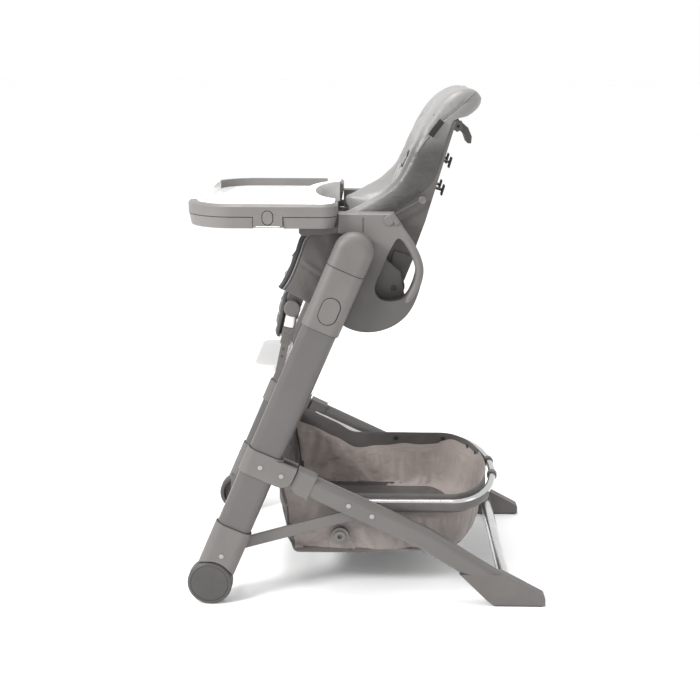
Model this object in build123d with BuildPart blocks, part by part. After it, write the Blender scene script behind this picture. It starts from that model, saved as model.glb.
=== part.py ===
"""Folding baby high chair: two leaning posts with a sliding seat, a sliding-collar fold,
a detachable tray and a shopping basket on a hoop.

Units are millimetres. +Z is up, the child faces -Y, and the child's left is +X.
Left-hand pieces are drawn at +X and mirrored to -X.
"""
from build123d import *
import os
from math import cos, sin, atan2, hypot, radians, degrees

# ---------------------------------------------------------------- driving dimensions
CLEAR = 0.3              # gap between pieces that move past each other
PIN_CLEAR = 0.05         # radial running clearance of a hinge pin

LEAN = 23.2              # lean of the front posts from the vertical, degrees
WHEEL_R = 46.5
WHEEL_Y = -325.0         # front wheel centre, also the foot of the post axis
POST_X = 256.5           # middle plane of a post
POST_DEPTH = 72.0        # fore-and-aft size of the oval post
POST_WIDTH = 33.0
TUBE_WALL = 2.0
POST_START = 53.0        # distances along the post, from the wheel centre
POST_END = 745.0

SLEEVE_HALF = 39.5       # half depth of everything that wraps a post
SLEEVE_OUT = 277.5       # outer and inner faces of everything that wraps a post
SLEEVE_IN = 237.0
END_CHAMFER = 1.1        # on the ends of those pieces

BOOT_TOP = 131.0
COLLAR_LOW = 253.0
COLLAR_TOP = 307.0
CARRIAGE_LOW = 585.0
CARRIAGE_TOP = 713.7
CAP_LOW = 714.0
CAP_STRAIGHT = 40.0
HEIGHT_BUTTON_AT = 630.0
BUTTON_GAP = 1.3         # shadow gap around every push button
CROSS_TUBE_AT = (98.0, -12.0)

LINK_PIN_AT = (67.0, 0.0)       # along and behind the post axis
LEG_PIN_AT = (278.0, 46.0)
LEG_LINK_PIN = (11.0, 197.0)    # Y, Z of the pin that joins link and rear leg
LEG_BEND = (118.0, 146.0)       # Y, Z where the rear leg turns down
LEG_SLOPE_LOW = 32.4            # slope of the lower leg, degrees
LEG_HEIGHT = 48.0
LEG_WIDTH = 30.0
LEG_X = 257.0
LINK_OUT, LINK_IN = 235.5, 229.5
FOOT_TOP = 70.0
FOOT_TIP = 371.5
SOLE = 2.5

CROSSBAR = (291.0, 35.0)        # Y, Z
CROSSBAR_R = 13.5

HOOP_X = 220.0
HOOP_Z = 208.0
HOOP_R = 8.0
HOOP_REAR_Y = 178.0             # centre of the rear half ellipse
HOOP_REAR_B = 100.0             # its depth
BASKET_FLOOR = 84.0
BASKET_SKIN = 3.0

PANEL_IN, PANEL_OUT = 196.0, 232.0
SEAT_HALF = 195.5
SEAT_WALL = 12.0
RECLINE_PIVOT = (52.0, 657.0)
SHELL_HALF = 165.0
ARM_TOP = 811.0
ARM_LOW = 774.0

TRAY_HALF = 266.0
TRAY_FRONT, TRAY_REAR = -360.0, -60.5
TRAY_LOW, TRAY_SEAM, TRAY_TOP = 785.0, 809.0, 831.0

FOOTREST_PIVOT = (-155.0, 608.0)
CALF_LEAN = 11.9                # lean of the calf panel, degrees


# ---------------------------------------------------------------- frames of reference
S, C = sin(radians(LEAN)), cos(radians(LEAN))


def on_post(along, behind=0.0):
    """Y and Z of a point given along the post axis and behind it."""
    return (WHEEL_Y + along * S + behind * C, WHEEL_R + along * C - behind * S)


def across_post(along, x=POST_X, behind=0.0):
    """Plane square to the post: local x is X, local y points behind the post."""
    y, z = on_post(along, behind)
    return Plane(origin=(x, y, z), x_dir=(1, 0, 0), z_dir=(0, S, C))


def beside_post(x):
    """Plane along the post at X = x: local x runs up the post, local y behind it, normal -X."""
    return Plane(origin=(x, WHEEL_Y, WHEEL_R), x_dir=(0, S, C), z_dir=(-1, 0, 0))


def side(x):
    """Plane at X = x whose local x is Y and local y is Z; its normal is +X."""
    return Plane(origin=(x, 0, 0), x_dir=(0, 1, 0), z_dir=(1, 0, 0))


LEG_PIN = on_post(*LEG_PIN_AT)
LINK_PIN = on_post(*LINK_PIN_AT)
LEG_SLOPE = degrees(atan2(LEG_PIN[1] - LEG_LINK_PIN[1], LEG_LINK_PIN[0] - LEG_PIN[0]))
LS, LC = sin(radians(LEG_SLOPE)), cos(radians(LEG_SLOPE))


def on_leg(along, below=0.0):
    """Y and Z of a point given along the upper rear leg from its hinge, and below its axis."""
    return (LEG_PIN[0] + along * LC - below * LS, LEG_PIN[1] - along * LS - below * LC)


def beside_leg(x):
    """Plane along the upper rear leg: local x down the leg, local y below it, normal -X."""
    return Plane(origin=(x, *LEG_PIN), x_dir=(0, LC, -LS), z_dir=(-1, 0, 0))


def mirrored(source):
    with BuildPart() as other:
        mirror(source.part, about=Plane.YZ)
    return other


def both_sides(source):
    """One node that holds a left piece and its mirror image."""
    with BuildPart() as pair:
        add(source.part)
        mirror(source.part, about=Plane.YZ)
    return pair


def slab(outline, half):
    """Side-view outline extruded across X, symmetric about the middle plane."""
    with BuildPart() as made:
        with BuildSketch(side(-half)):
            with BuildLine():
                Polyline(*outline, close=True)
            make_face()
        extrude(amount=2 * half)
    return made


def post_bore(start, end):
    """Oval bore that clears a post."""
    with BuildPart() as bore:
        with BuildSketch(across_post(start)):
            SlotOverall(POST_DEPTH + 2 * CLEAR, POST_WIDTH + 2 * CLEAR, rotation=90)
        extrude(amount=end - start)
    return bore.part


def post_sleeve(start, end, eased=(0, -1)):
    """Outer oval of a piece that wraps a post, without its bore; eased lists its chamfered ends."""
    with BuildPart() as sleeve:
        with BuildSketch(across_post(start, x=(SLEEVE_OUT + SLEEVE_IN) / 2)):
            SlotOverall(2 * SLEEVE_HALF, SLEEVE_OUT - SLEEVE_IN, rotation=90)
        extrude(amount=end - start)
        ends = sleeve.faces().sort_by(Axis((0, 0, 0), (0, S, C)))
        for which in eased:
            chamfer(ends[which].edges(), length=END_CHAMFER)
    return sleeve.part


# ---------------------------------------------------------------- front frame
with BuildPart() as post_left:
    with BuildSketch(across_post(POST_START)):
        SlotOverall(POST_DEPTH, POST_WIDTH, rotation=90)
        offset(amount=-TUBE_WALL, mode=Mode.SUBTRACT)
    extrude(amount=POST_END - POST_START)

with BuildPart() as cap_left:
    add(post_sleeve(CAP_LOW, CAP_LOW + CAP_STRAIGHT, eased=(0,)))
    dome_at = on_post(CAP_LOW + CAP_STRAIGHT)
    with BuildSketch(across_post(CAP_LOW + CAP_STRAIGHT, x=(SLEEVE_OUT + SLEEVE_IN) / 2)):
        SlotOverall(2 * SLEEVE_HALF, SLEEVE_OUT - SLEEVE_IN, rotation=90)
        with Locations((0, -SLEEVE_HALF)):
            Rectangle(100, 2 * SLEEVE_HALF, mode=Mode.SUBTRACT)
    revolve(axis=Axis((0, *dome_at), (1, 0, 0)))
    add(post_bore(CAP_LOW - 1, POST_END + 1), mode=Mode.SUBTRACT)

CHEEK_IN = 245.0                # the boot's inner cheek carries the axle
with BuildPart() as boot_left:
    add(post_sleeve(30, BOOT_TOP, eased=(-1,)))
    with BuildSketch(beside_post(SLEEVE_OUT + 1)):
        Circle(WHEEL_R + 3)
    extrude(amount=SLEEVE_OUT + 1 - CHEEK_IN, mode=Mode.SUBTRACT)
    with BuildSketch(beside_post(CHEEK_IN)):
        Circle(20)
        with BuildLine():
            Polyline((0, -20), (44, -36), (44, 36), (0, 20), close=True)
        make_face()
    extrude(amount=CHEEK_IN - SLEEVE_IN)
    add(post_bore(POST_START - 0.3, BOOT_TOP + 1), mode=Mode.SUBTRACT)
    with BuildSketch(beside_post(CHEEK_IN + 1)):
        Circle(5 + PIN_CLEAR)
    extrude(amount=12, mode=Mode.SUBTRACT)

with BuildPart() as cross_tube:
    with BuildSketch(Plane(origin=(-SLEEVE_IN, *on_post(*CROSS_TUBE_AT)), z_dir=(1, 0, 0))):
        Circle(9)
        Circle(7.4, mode=Mode.SUBTRACT)
    extrude(amount=2 * SLEEVE_IN)

with BuildPart() as axle_left:
    with BuildSketch(beside_post(271)):
        Circle(5)
    extrude(amount=271 - SLEEVE_IN)
    with BuildSketch(beside_post(SLEEVE_IN)):
        Circle(8)
    extrude(amount=1.2)

with BuildPart() as link_pin_left:
    with BuildSketch(beside_post(SLEEVE_IN)):
        with Locations(LINK_PIN_AT):
            Circle(4)
    extrude(amount=SLEEVE_IN - LINK_IN)
    with BuildSketch(beside_post(LINK_IN - CLEAR)):
        with Locations(LINK_PIN_AT):
            Circle(7)
    extrude(amount=1.2)
    with BuildSketch(beside_post(SLEEVE_OUT + 1.4)):
        with Locations(LINK_PIN_AT):
            Circle(5)
    extrude(amount=1.4)

# ---------------------------------------------------------------- front wheels
WHEEL_OUT, WHEEL_IN = 276.5, 246.0
wheel_axis = Axis((0, WHEEL_Y, WHEEL_R), (1, 0, 0))
wheel_plane = Plane(origin=(0, WHEEL_Y, WHEEL_R), x_dir=(1, 0, 0), z_dir=(0, 0, 1))
with BuildPart() as wheel_left:
    with BuildSketch(wheel_plane):
        with BuildLine():
            Polyline(
                (WHEEL_IN, 5 + PIN_CLEAR), (WHEEL_IN, 13), (WHEEL_IN + 12, 13),
                (WHEEL_IN + 12, 35), (WHEEL_IN + 1, 37), (WHEEL_IN + 1, 43),
                (WHEEL_IN + 5, WHEEL_R), (WHEEL_OUT - 3.5, WHEEL_R), (WHEEL_OUT, 43),
                (WHEEL_OUT, 39.5), (WHEEL_OUT - 3, 39.5), (WHEEL_OUT - 3, 0),
                (271.5, 0), (271.5, 5 + PIN_CLEAR), close=True)
        make_face()
    revolve(axis=wheel_axis)

with BuildPart() as hubcap_left:
    with BuildSketch(wheel_plane):
        with BuildLine():
            Polyline((WHEEL_OUT - 3, 0), (WHEEL_OUT - 3, 39), (WHEEL_OUT - 0.6, 39),
                     (WHEEL_OUT + 0.4, 36), (WHEEL_OUT + 1.0, 0), close=True)
        make_face()
    revolve(axis=wheel_axis)

# ---------------------------------------------------------------- sliding collars
EYE_OUT, EYE_IN = 266.8, 247.2
CHEEK_R = 25.0
with BuildPart() as collar_left:
    add(post_sleeve(COLLAR_LOW, COLLAR_TOP))
    with BuildSketch(beside_post(SLEEVE_OUT)):
        with Locations((LEG_PIN_AT[0], LEG_PIN_AT[1] / 2 + 8)):
            Rectangle(2 * CHEEK_R, LEG_PIN_AT[1] - 16)
        with Locations(LEG_PIN_AT):
            Circle(CHEEK_R)
        with Locations((LEG_PIN_AT[0] + CHEEK_R / 2, LEG_PIN_AT[1] + CHEEK_R / 2)):
            Rectangle(CHEEK_R, CHEEK_R)
    extrude(amount=SLEEVE_OUT - SLEEVE_IN)
    add(post_bore(COLLAR_LOW - 1, COLLAR_TOP + 1), mode=Mode.SUBTRACT)
    with BuildSketch(beside_post(EYE_OUT)):
        with Locations((LEG_PIN_AT[0], SLEEVE_HALF + 20)):
            Rectangle(70, 40)
        with Locations((LEG_PIN_AT[0] - 1, SLEEVE_HALF)):
            Rectangle(34, 10)
    extrude(amount=EYE_OUT - EYE_IN, mode=Mode.SUBTRACT)
    with BuildSketch(beside_post(SLEEVE_OUT + 1)):
        with Locations(LEG_PIN_AT):
            Circle(3.5 + PIN_CLEAR)
    extrude(amount=45, mode=Mode.SUBTRACT)

with BuildPart() as collar_pin_left:
    with BuildSketch(beside_post(SLEEVE_OUT)):
        with Locations(LEG_PIN_AT):
            Circle(3.5)
    extrude(amount=SLEEVE_OUT - SLEEVE_IN)
    with BuildSketch(beside_post(SLEEVE_OUT + 1.4)):
        with Locations(LEG_PIN_AT, (LEG_PIN_AT[0], 0)):
            Circle(5)
    extrude(amount=1.4)

# ---------------------------------------------------------------- rear legs
BRACKET_START, BRACKET_END = 27.0, 68.0
BRACKET_OUT, BRACKET_IN = 273.2, 240.5
BRACKET_HALF = LEG_HEIGHT / 2 + 0.8
low_s, low_c = sin(radians(LEG_SLOPE_LOW)), cos(radians(LEG_SLOPE_LOW))


def low_leg_y(z, above):
    """Y where the lower leg's axis, or an edge parallel to it, crosses a height."""
    return LEG_BEND[0] + (LEG_BEND[1] + above / low_c - z) * low_c / low_s


with BuildPart() as leg_left:
    start = on_leg(BRACKET_START + 12)
    end_y = low_leg_y(FOOT_TOP - 40, 0)
    with BuildLine(side(LEG_X)) as leg_path:
        FilletPolyline(start, LEG_BEND, (end_y, FOOT_TOP - 40), radius=170)
    with BuildSketch(Plane(origin=(LEG_X, *start), x_dir=(1, 0, 0), z_dir=(0, LC, -LS))):
        SlotOverall(LEG_HEIGHT, LEG_WIDTH, rotation=90)
    sweep(path=leg_path.line)
    split(bisect_by=Plane.XY.offset(FOOT_TOP), keep=Keep.TOP)

with BuildPart() as bracket_left:
    with BuildSketch(beside_leg(BRACKET_OUT)):
        with BuildLine():
            Polyline((BRACKET_START, -BRACKET_HALF), (BRACKET_END, -BRACKET_HALF),
                     (BRACKET_END, BRACKET_HALF), (BRACKET_START + 17, BRACKET_HALF),
                     (BRACKET_START, 15), close=True)
        make_face()
    extrude(amount=BRACKET_OUT - BRACKET_IN)
    with BuildSketch(beside_leg(EYE_OUT - CLEAR)):
        Circle(9.6)
        with BuildLine():
            Polyline((0, -9.6), (BRACKET_START + 1, -16), (BRACKET_START + 1, 13), (0, 9.6), close=True)
        make_face()
    extrude(amount=EYE_OUT - EYE_IN - 2 * CLEAR)
    add(leg_left.part, mode=Mode.SUBTRACT)
    with BuildSketch(beside_leg(EYE_OUT + 1)):
        Circle(3.5 + PIN_CLEAR)
    extrude(amount=30, mode=Mode.SUBTRACT)

with BuildPart() as foot_left:
    top_rear = low_leg_y(FOOT_TOP, LEG_HEIGHT / 2)
    top_front = low_leg_y(FOOT_TOP, -LEG_HEIGHT / 2)
    with BuildSketch(side(LEG_X - LEG_WIDTH / 2)):
        with BuildLine():
            Polyline((top_front, FOOT_TOP), (top_rear, FOOT_TOP), (FOOT_TIP - 2, 23),
                     (FOOT_TIP, 19), (FOOT_TIP, SOLE), (262, SOLE), (250, 13), close=True)
        make_face()
    extrude(amount=LEG_WIDTH)
    fillet(foot_left.edges().filter_by(Axis.X, reverse=True).group_by(Axis.X)[-1].sort_by(Axis.Z)[3:-1],
           radius=2.5)

with BuildPart() as foot_pad_left:
    with BuildSketch(Plane.XY.offset(0)):
        with Locations((LEG_X, (266 + FOOT_TIP - 3) / 2)):
            RectangleRounded(LEG_WIDTH - 4, FOOT_TIP - 3 - 266, 5)
    extrude(amount=SOLE)

with BuildPart() as crossbar:
    with BuildSketch(Plane(origin=(-LEG_X + LEG_WIDTH / 2, *CROSSBAR), z_dir=(1, 0, 0))):
        Circle(CROSSBAR_R)
        Circle(CROSSBAR_R - 1.8, mode=Mode.SUBTRACT)
    extrude(amount=2 * LEG_X - LEG_WIDTH)
    with BuildSketch(Plane(origin=(-LEG_X + LEG_WIDTH / 2, *CROSSBAR), x_dir=(0, 1, 0), z_dir=(1, 0, 0))):
        with Locations((-CROSSBAR_R * 0.94, CROSSBAR_R * 0.34)):
            Circle(1.6)
    extrude(amount=2 * LEG_X - LEG_WIDTH, mode=Mode.SUBTRACT)

with BuildPart() as crossbar_ring_left:
    with BuildSketch(Plane(origin=(LEG_X - LEG_WIDTH / 2 - 12, *CROSSBAR), z_dir=(1, 0, 0))):
        Circle(CROSSBAR_R + 3)
        Circle(CROSSBAR_R + 0.1, mode=Mode.SUBTRACT)
    extrude(amount=12)

# ---------------------------------------------------------------- lower links
LINK_LENGTH = hypot(LEG_LINK_PIN[0] - LINK_PIN[0], LEG_LINK_PIN[1] - LINK_PIN[1])
LINK_RISE = atan2(LEG_LINK_PIN[1] - LINK_PIN[1], LEG_LINK_PIN[0] - LINK_PIN[0])
link_side = Plane(origin=(LINK_IN, *LINK_PIN), x_dir=(0, cos(LINK_RISE), sin(LINK_RISE)), z_dir=(1, 0, 0))
with BuildPart() as link_left:
    with BuildSketch(link_side):
        with Locations((LINK_LENGTH / 2, 0)):
            SlotCenterToCenter(LINK_LENGTH, 24)
        Circle(4 + PIN_CLEAR, mode=Mode.SUBTRACT)
    extrude(amount=LINK_OUT - LINK_IN)
    fillet(link_left.edges().filter_by(Axis.X, reverse=True).group_by(Axis.X)[-1].sort_by(SortBy.LENGTH)[1:],
           radius=1.5)

with BuildPart() as link_stud_left:
    with BuildSketch(side(LINK_OUT)):
        with Locations(LEG_LINK_PIN):
            Circle(5)
    extrude(amount=LEG_X - LEG_WIDTH / 2 - CLEAR - LINK_OUT)
    with BuildSketch(side(LINK_IN - 1.2)):
        with Locations(LEG_LINK_PIN):
            Circle(7)
    extrude(amount=1.2)

# ---------------------------------------------------------------- basket
ARM_START = 60.0
HOOP_SPACERS = (ARM_START, 151.0)
with BuildPart() as hoop:
    arm_end = on_leg((LEG_PIN[1] - HOOP_Z) / LS - 22)
    flat_start = (on_leg((LEG_PIN[1] - HOOP_Z) / LS)[0] + 24, HOOP_Z)
    with BuildLine() as hoop_path:
        for sign in (1, -1):
            Line((sign * HOOP_X, *on_leg(ARM_START - 14)), (sign * HOOP_X, *arm_end))
            Spline((sign * HOOP_X, *arm_end), (sign * HOOP_X, *flat_start),
                   tangents=((0, LC, -LS), (0, 1, 0)))
            Line((sign * HOOP_X, *flat_start), (sign * HOOP_X, HOOP_REAR_Y, HOOP_Z))
        EllipticalCenterArc((0, HOOP_REAR_Y, HOOP_Z), HOOP_X, HOOP_REAR_B, start_angle=0, arc_size=180)
    hoop_start = Plane(origin=(HOOP_X, *on_leg(ARM_START - 14)), x_dir=(1, 0, 0), z_dir=(0, LC, -LS))
    with BuildSketch(hoop_start):
        Circle(HOOP_R)
        Circle(HOOP_R - 1.5, mode=Mode.SUBTRACT)
    sweep(path=hoop_path.wires()[0])

with BuildPart() as hoop_spacer_left:
    with BuildSketch(beside_leg(BRACKET_IN)):
        with Locations((HOOP_SPACERS[0], 0)):
            Circle(5)
    extrude(amount=BRACKET_IN - HOOP_X - HOOP_R + 0.6)
    with BuildSketch(beside_leg(LEG_X - LEG_WIDTH / 2)):
        with Locations((HOOP_SPACERS[1], 0)):
            Circle(4)
    extrude(amount=LEG_X - LEG_WIDTH / 2 - HOOP_X - HOOP_R + 0.6)
    add(hoop.part, mode=Mode.SUBTRACT)

with BuildPart() as leg_rivet_left:
    leg_face = LEG_X + LEG_WIDTH / 2
    with BuildSketch(beside_leg(leg_face + 1.4)):
        with Locations((HOOP_SPACERS[1], 0), (hypot(LEG_LINK_PIN[0] - LEG_PIN[0], LEG_LINK_PIN[1] - LEG_PIN[1]), 0)):
            Circle(5)
    extrude(amount=1.4)


def tub_outline(half, front, straight_to, bulge):
    """Basket plan: straight front and sides, half-ellipse rear."""
    with Locations((0, (front + straight_to) / 2)):
        Rectangle(2 * half, straight_to - front)
    with Locations((0, straight_to)):
        Ellipse(half, bulge)


def tub_solid(inset, floor):
    with BuildPart() as solid:
        with BuildSketch(Plane.XY.offset(floor)):
            tub_outline(203 - inset, -157 + inset, 150, 84 - inset)
        with BuildSketch(Plane.XY.offset(272)):
            tub_outline(212 - inset, -200 + inset, 188, 87 - inset)
        loft()
    return solid.part


with BuildPart() as basket_tub:
    add(tub_solid(0, BASKET_FLOOR))
    add(tub_solid(BASKET_SKIN, BASKET_FLOOR + BASKET_SKIN), mode=Mode.SUBTRACT)
    with BuildSketch(side(-250)):
        with BuildLine():
            Polyline((-260, 258), (-138, 258), (-20, HOOP_Z + 4), (320, HOOP_Z + 4),
                     (320, 300), (-260, 300), close=True)
        make_face()
    extrude(amount=500, mode=Mode.SUBTRACT)

with BuildPart() as basket_board:
    with BuildSketch(Plane.XY.offset(BASKET_FLOOR + BASKET_SKIN)):
        tub_outline(196, -148, 148, 74)
    extrude(amount=3)

with BuildPart() as basket_boss_left:
    with BuildSketch(side(209)):
        with Locations((-56, 130)):
            Circle(19)
    extrude(amount=9)
    with BuildSketch(side(218)):
        with Locations((-56, 130)):
            Circle(12)
    extrude(amount=3)
    with BuildSketch(side(221)):
        with Locations((-56, 130)):
            Circle(5)
    extrude(amount=-5, mode=Mode.SUBTRACT)

with BuildPart() as hoop_ring_left:
    ring_angle = 78
    ring_x = HOOP_X * cos(radians(ring_angle))
    ring_y = HOOP_REAR_Y + HOOP_REAR_B * sin(radians(ring_angle))
    ring_dir = (-HOOP_X * sin(radians(ring_angle)), HOOP_REAR_B * cos(radians(ring_angle)), 0)
    with BuildSketch(Plane(origin=(ring_x, ring_y, HOOP_Z), z_dir=ring_dir)):
        Circle(HOOP_R + 3)
        Circle(HOOP_R + 0.4, mode=Mode.SUBTRACT)
    extrude(amount=7, both=True)

# ---------------------------------------------------------------- seat carriage
with BuildPart() as carriage_left:
    add(post_sleeve(CARRIAGE_LOW, CARRIAGE_TOP))
    with BuildSketch(beside_post(SLEEVE_IN)):
        with Locations(((CARRIAGE_LOW + CARRIAGE_TOP) / 2 - 6, -2)):
            Rectangle(76, 44)
    extrude(amount=SLEEVE_IN - PANEL_OUT)
    add(post_bore(CARRIAGE_LOW - 1, CARRIAGE_TOP + 1), mode=Mode.SUBTRACT)
    with BuildSketch(beside_post(SLEEVE_OUT + 1)):
        with Locations((HEIGHT_BUTTON_AT, 2)):
            SlotOverall(54 + 2 * BUTTON_GAP, 36 + 2 * BUTTON_GAP)
    extrude(amount=6, mode=Mode.SUBTRACT)

with BuildPart() as height_button_left:
    with BuildSketch(beside_post(SLEEVE_OUT + 2)):
        with Locations((HEIGHT_BUTTON_AT, 2)):
            SlotOverall(54, 36)
    extrude(amount=4.2)
    fillet(height_button_left.edges().group_by(Axis.X)[-1], radius=1.5)

# ---------------------------------------------------------------- seat side panels and handle loops
RAIL_FRONT, ARM_FRONT = -136.0, -60.0
panel_rear = [(50, ARM_TOP), (84, 760), (107, 708), (101, 656), (74, 604), (15, 574), (-50, 587)]
panel_front = [(-50, 587), (-84, 640), (-76, 690), (-55, 735), (-45, ARM_LOW - 4), (ARM_FRONT, ARM_LOW - 2),
               (ARM_FRONT, ARM_TOP), (50, ARM_TOP)]
loop_outline = [(62, 762), (82, 744), (94, 700), (85, 664), (72, 644), (48, 637), (22, 643), (14, 656),
                (22, 690), (37, 726), (50, 752)]
with BuildPart() as panel_left:
    with BuildSketch(side(PANEL_IN)):
        with BuildLine():
            Spline(*panel_rear)
            Polyline(*panel_front)
        make_face()
        with BuildLine():
            Spline(*loop_outline, periodic=True)
        make_face(mode=Mode.SUBTRACT)
    extrude(amount=PANEL_OUT - PANEL_IN)
    chamfer(panel_left.faces().sort_by(Axis.X)[-1].outer_wire().edges(), length=2.5)

with BuildPart() as rail_left:
    with BuildSketch(side(PANEL_IN + 4)):
        with BuildLine():
            Polyline((RAIL_FRONT, ARM_LOW - 2), (RAIL_FRONT + 6, ARM_LOW - 8), (ARM_FRONT, ARM_LOW - 2),
                     (ARM_FRONT, TRAY_LOW - 0.5), (RAIL_FRONT, TRAY_LOW - 0.5), close=True)
        make_face()
    extrude(amount=PANEL_OUT - PANEL_IN - 6)

with BuildPart() as arm_end_left:
    with BuildSketch(side(PANEL_OUT)):
        with Locations((40, ARM_TOP - 13)):
            Circle(10)
    extrude(amount=4)
    fillet(arm_end_left.edges().group_by(Axis.X)[-1], radius=2)

# ---------------------------------------------------------------- seat shell and cushions
seat_outline = [(-93, 770), (-121, 757), (-146, 690), (-168, 652), (-136, 640), (-60, 596),
                (30, 582), (62, 596), (74, 640), (64, 690), (30, 720), (10, 770)]
seat_hollow = [(-200, 664), (-164, 660), (-150, 652), (-60, 610), (30, 597), (90, 640), (90, 820), (-200, 820)]
with BuildPart() as seat_shell:
    add(slab(seat_outline, SEAT_HALF).part)
    add(slab(seat_hollow, SEAT_HALF - SEAT_WALL).part, mode=Mode.SUBTRACT)
    for x in (-160, 152):                                   # lugs that carry the footrest
        with BuildSketch(side(x)):
            with Locations(FOOTREST_PIVOT):
                Circle(15)
            with BuildLine():
                Polyline((-168, 612), (-160, 648), (-126, 642), (-141, 600), close=True)
            make_face()
        extrude(amount=8)
    with BuildSketch(side(-200)):
        with Locations(FOOTREST_PIVOT):
            Circle(5 + PIN_CLEAR)
    extrude(amount=400, mode=Mode.SUBTRACT)
    with BuildSketch(side(-200)):
        with Locations(RECLINE_PIVOT):
            Circle(6.1)
    extrude(amount=400, mode=Mode.SUBTRACT)

with BuildPart() as recline_pin_left:
    with BuildSketch(side(168)):
        with Locations(RECLINE_PIVOT):
            Circle(6)
    extrude(amount=SEAT_HALF - 168)

seat_pad = slab([(-168, 666), (-150, 656), (-60, 613), (0, 606), (3, 644), (-60, 650), (-150, 688),
                 (-170, 680)], 176)

SHELL_REAR = [(54, 622), (96, 737), (114, 788), (132, 849), (147, 900), (160, 945), (172, 985)]
SHELL_DEPTH, SHELL_PLATE = 45.0, 8.0


def shifted(points, forward, lift=0.3):
    """The rear line of the backrest moved forward, square to its lean."""
    return [(y - forward, z + forward * lift) for y, z in points]


def band(rear, front):
    return rear + front[::-1]


with BuildPart() as back_shell:
    add(slab(band(SHELL_REAR, shifted(SHELL_REAR, SHELL_DEPTH)), SHELL_HALF).part)
    pocket = band(shifted(SHELL_REAR, SHELL_PLATE), shifted(SHELL_REAR, SHELL_DEPTH + 20))
    add(slab(pocket, SHELL_HALF - 7).part, mode=Mode.SUBTRACT)
    for x in (-179, 169):                                   # ears on the recline pins
        with BuildSketch(side(x)):
            with Locations(RECLINE_PIVOT):
                Circle(22)
        extrude(amount=10)
    for x in (-170, 158):
        with BuildSketch(side(x)):
            with BuildLine():
                Polyline((42, 640), (66, 650), (92, 716), (52, 728), (38, 672), close=True)
            make_face()
        extrude(amount=12)
    for x in (-SHELL_HALF, SHELL_HALF - 7):                 # cheeks behind the side wings
        with BuildSketch(side(x)):
            with BuildLine():
                Polyline((58, 738), (34, 742), (50, 800), (76, 848), (98, 866), (82, 800), close=True)
            make_face()
        extrude(amount=7)
    with BuildSketch(side(-200)):
        with Locations(RECLINE_PIVOT):
            Circle(6 + PIN_CLEAR)
    extrude(amount=400, mode=Mode.SUBTRACT)

core_low = shifted(SHELL_REAR[1:], SHELL_PLATE + 0.6)
back_pad_core = band([(81, 722)] + core_low, [(26, 704)] + shifted(SHELL_REAR[1:], SHELL_DEPTH + 20))
wing_outline = [(22, 706), (2, 702), (-30, 738), (-50, 774), (-58, 798), (-55, 806), (-38, 809), (-17, 819),
                (3, 830), (23, 842), (43, 857), (57, 874), (67, 891), (74, 905), (80, 918), (86, 933), (93, 948),
                (101, 964), (112, 984), (124, 1002), (130, 1000), (114, 957), (103, 914), (90, 863), (73, 803),
                (53, 752)]
head_outline = [(112, 984), (124, 1003), (139, 1022), (157, 1037), (178, 1047), (198, 1050), (214, 1044),
                (226, 1030), (212, 1004), (192, 992), (174, 988), (150, 975)]
with BuildPart() as back_pad:
    add(slab(back_pad_core, 150).part)
    add(slab(head_outline, 148).part)
    for x in (-176, 128):
        with BuildSketch(side(x)):
            with BuildLine():
                Polyline(*wing_outline, close=True)
            make_face()
        extrude(amount=48)
    add(back_shell.part, mode=Mode.SUBTRACT)

# ---------------------------------------------------------------- harness
STRAP_GAP = SHELL_DEPTH + 20.6
with BuildPart() as shoulder_strap_left:
    with BuildSketch(side(44)):
        with BuildLine():
            Polyline(*band(shifted(SHELL_REAR[1:5], STRAP_GAP), shifted(SHELL_REAR[1:5], STRAP_GAP + 2.5)),
                     close=True)
        make_face()
    extrude(amount=26)

with BuildPart() as waist_strap_left:
    with BuildSketch(Plane.XY.offset(668)):
        with BuildLine():
            Polyline((26, -30), (150, 8), (150, 11), (26, -27), close=True)
        make_face()
    extrude(amount=24)

with BuildPart() as crotch_strap:
    with BuildSketch(Plane(origin=(0, -40, 649.5), x_dir=(1, 0, 0), z_dir=(0, 0, 1))):
        Rectangle(30, 3)
    extrude(amount=12)

with BuildPart() as buckle:
    with BuildSketch(Plane(origin=(0, -52, 682), x_dir=(1, 0, 0), z_dir=(0, -1, 0))):
        RectangleRounded(44, 46, 10)
    extrude(amount=14)
    with BuildSketch(Plane(origin=(0, -66, 682), x_dir=(1, 0, 0), z_dir=(0, 1, 0))):
        Circle(10.4)
    extrude(amount=7, mode=Mode.SUBTRACT)

with BuildPart() as buckle_button:
    with BuildSketch(Plane(origin=(0, -63, 682), x_dir=(1, 0, 0), z_dir=(0, -1, 0))):
        Circle(10)
    extrude(amount=4.5)
    fillet(buckle_button.edges().group_by(Axis.Y)[0], radius=1)

with BuildPart() as triglides:
    for y, z in ((166, 896), (152, 839)):
        for x in (-52, 52):
            with BuildSketch(Plane(origin=(x, y, z), x_dir=(1, 0, 0), z_dir=(0, 0.96, -0.28))):
                RectangleRounded(34, 22, 4)
                with Locations((0, 5), (0, -5)):
                    RectangleRounded(26, 5, 1.5, mode=Mode.SUBTRACT)
            extrude(amount=3)
            with BuildSketch(Plane(origin=(x, y, z), x_dir=(1, 0, 0), z_dir=(0, 0.96, -0.28))):
                Rectangle(26, 4)
            extrude(amount=-16)
    add(back_shell.part, mode=Mode.SUBTRACT)

# ---------------------------------------------------------------- recline handle
with BuildPart() as handle_mount:
    add(slab([(166, 968), (172.5, 983), (190, 980), (192, 964), (180, 958)], 62).part)
    add(slab([(150, 955), (160, 990), (200, 995), (204, 950), (170, 940)], 46.4).part, mode=Mode.SUBTRACT)
    add(back_shell.part, mode=Mode.SUBTRACT)
    with BuildSketch(side(-70)):
        with Locations((182, 970)):
            Circle(3 + PIN_CLEAR)
    extrude(amount=140, mode=Mode.SUBTRACT)

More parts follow.
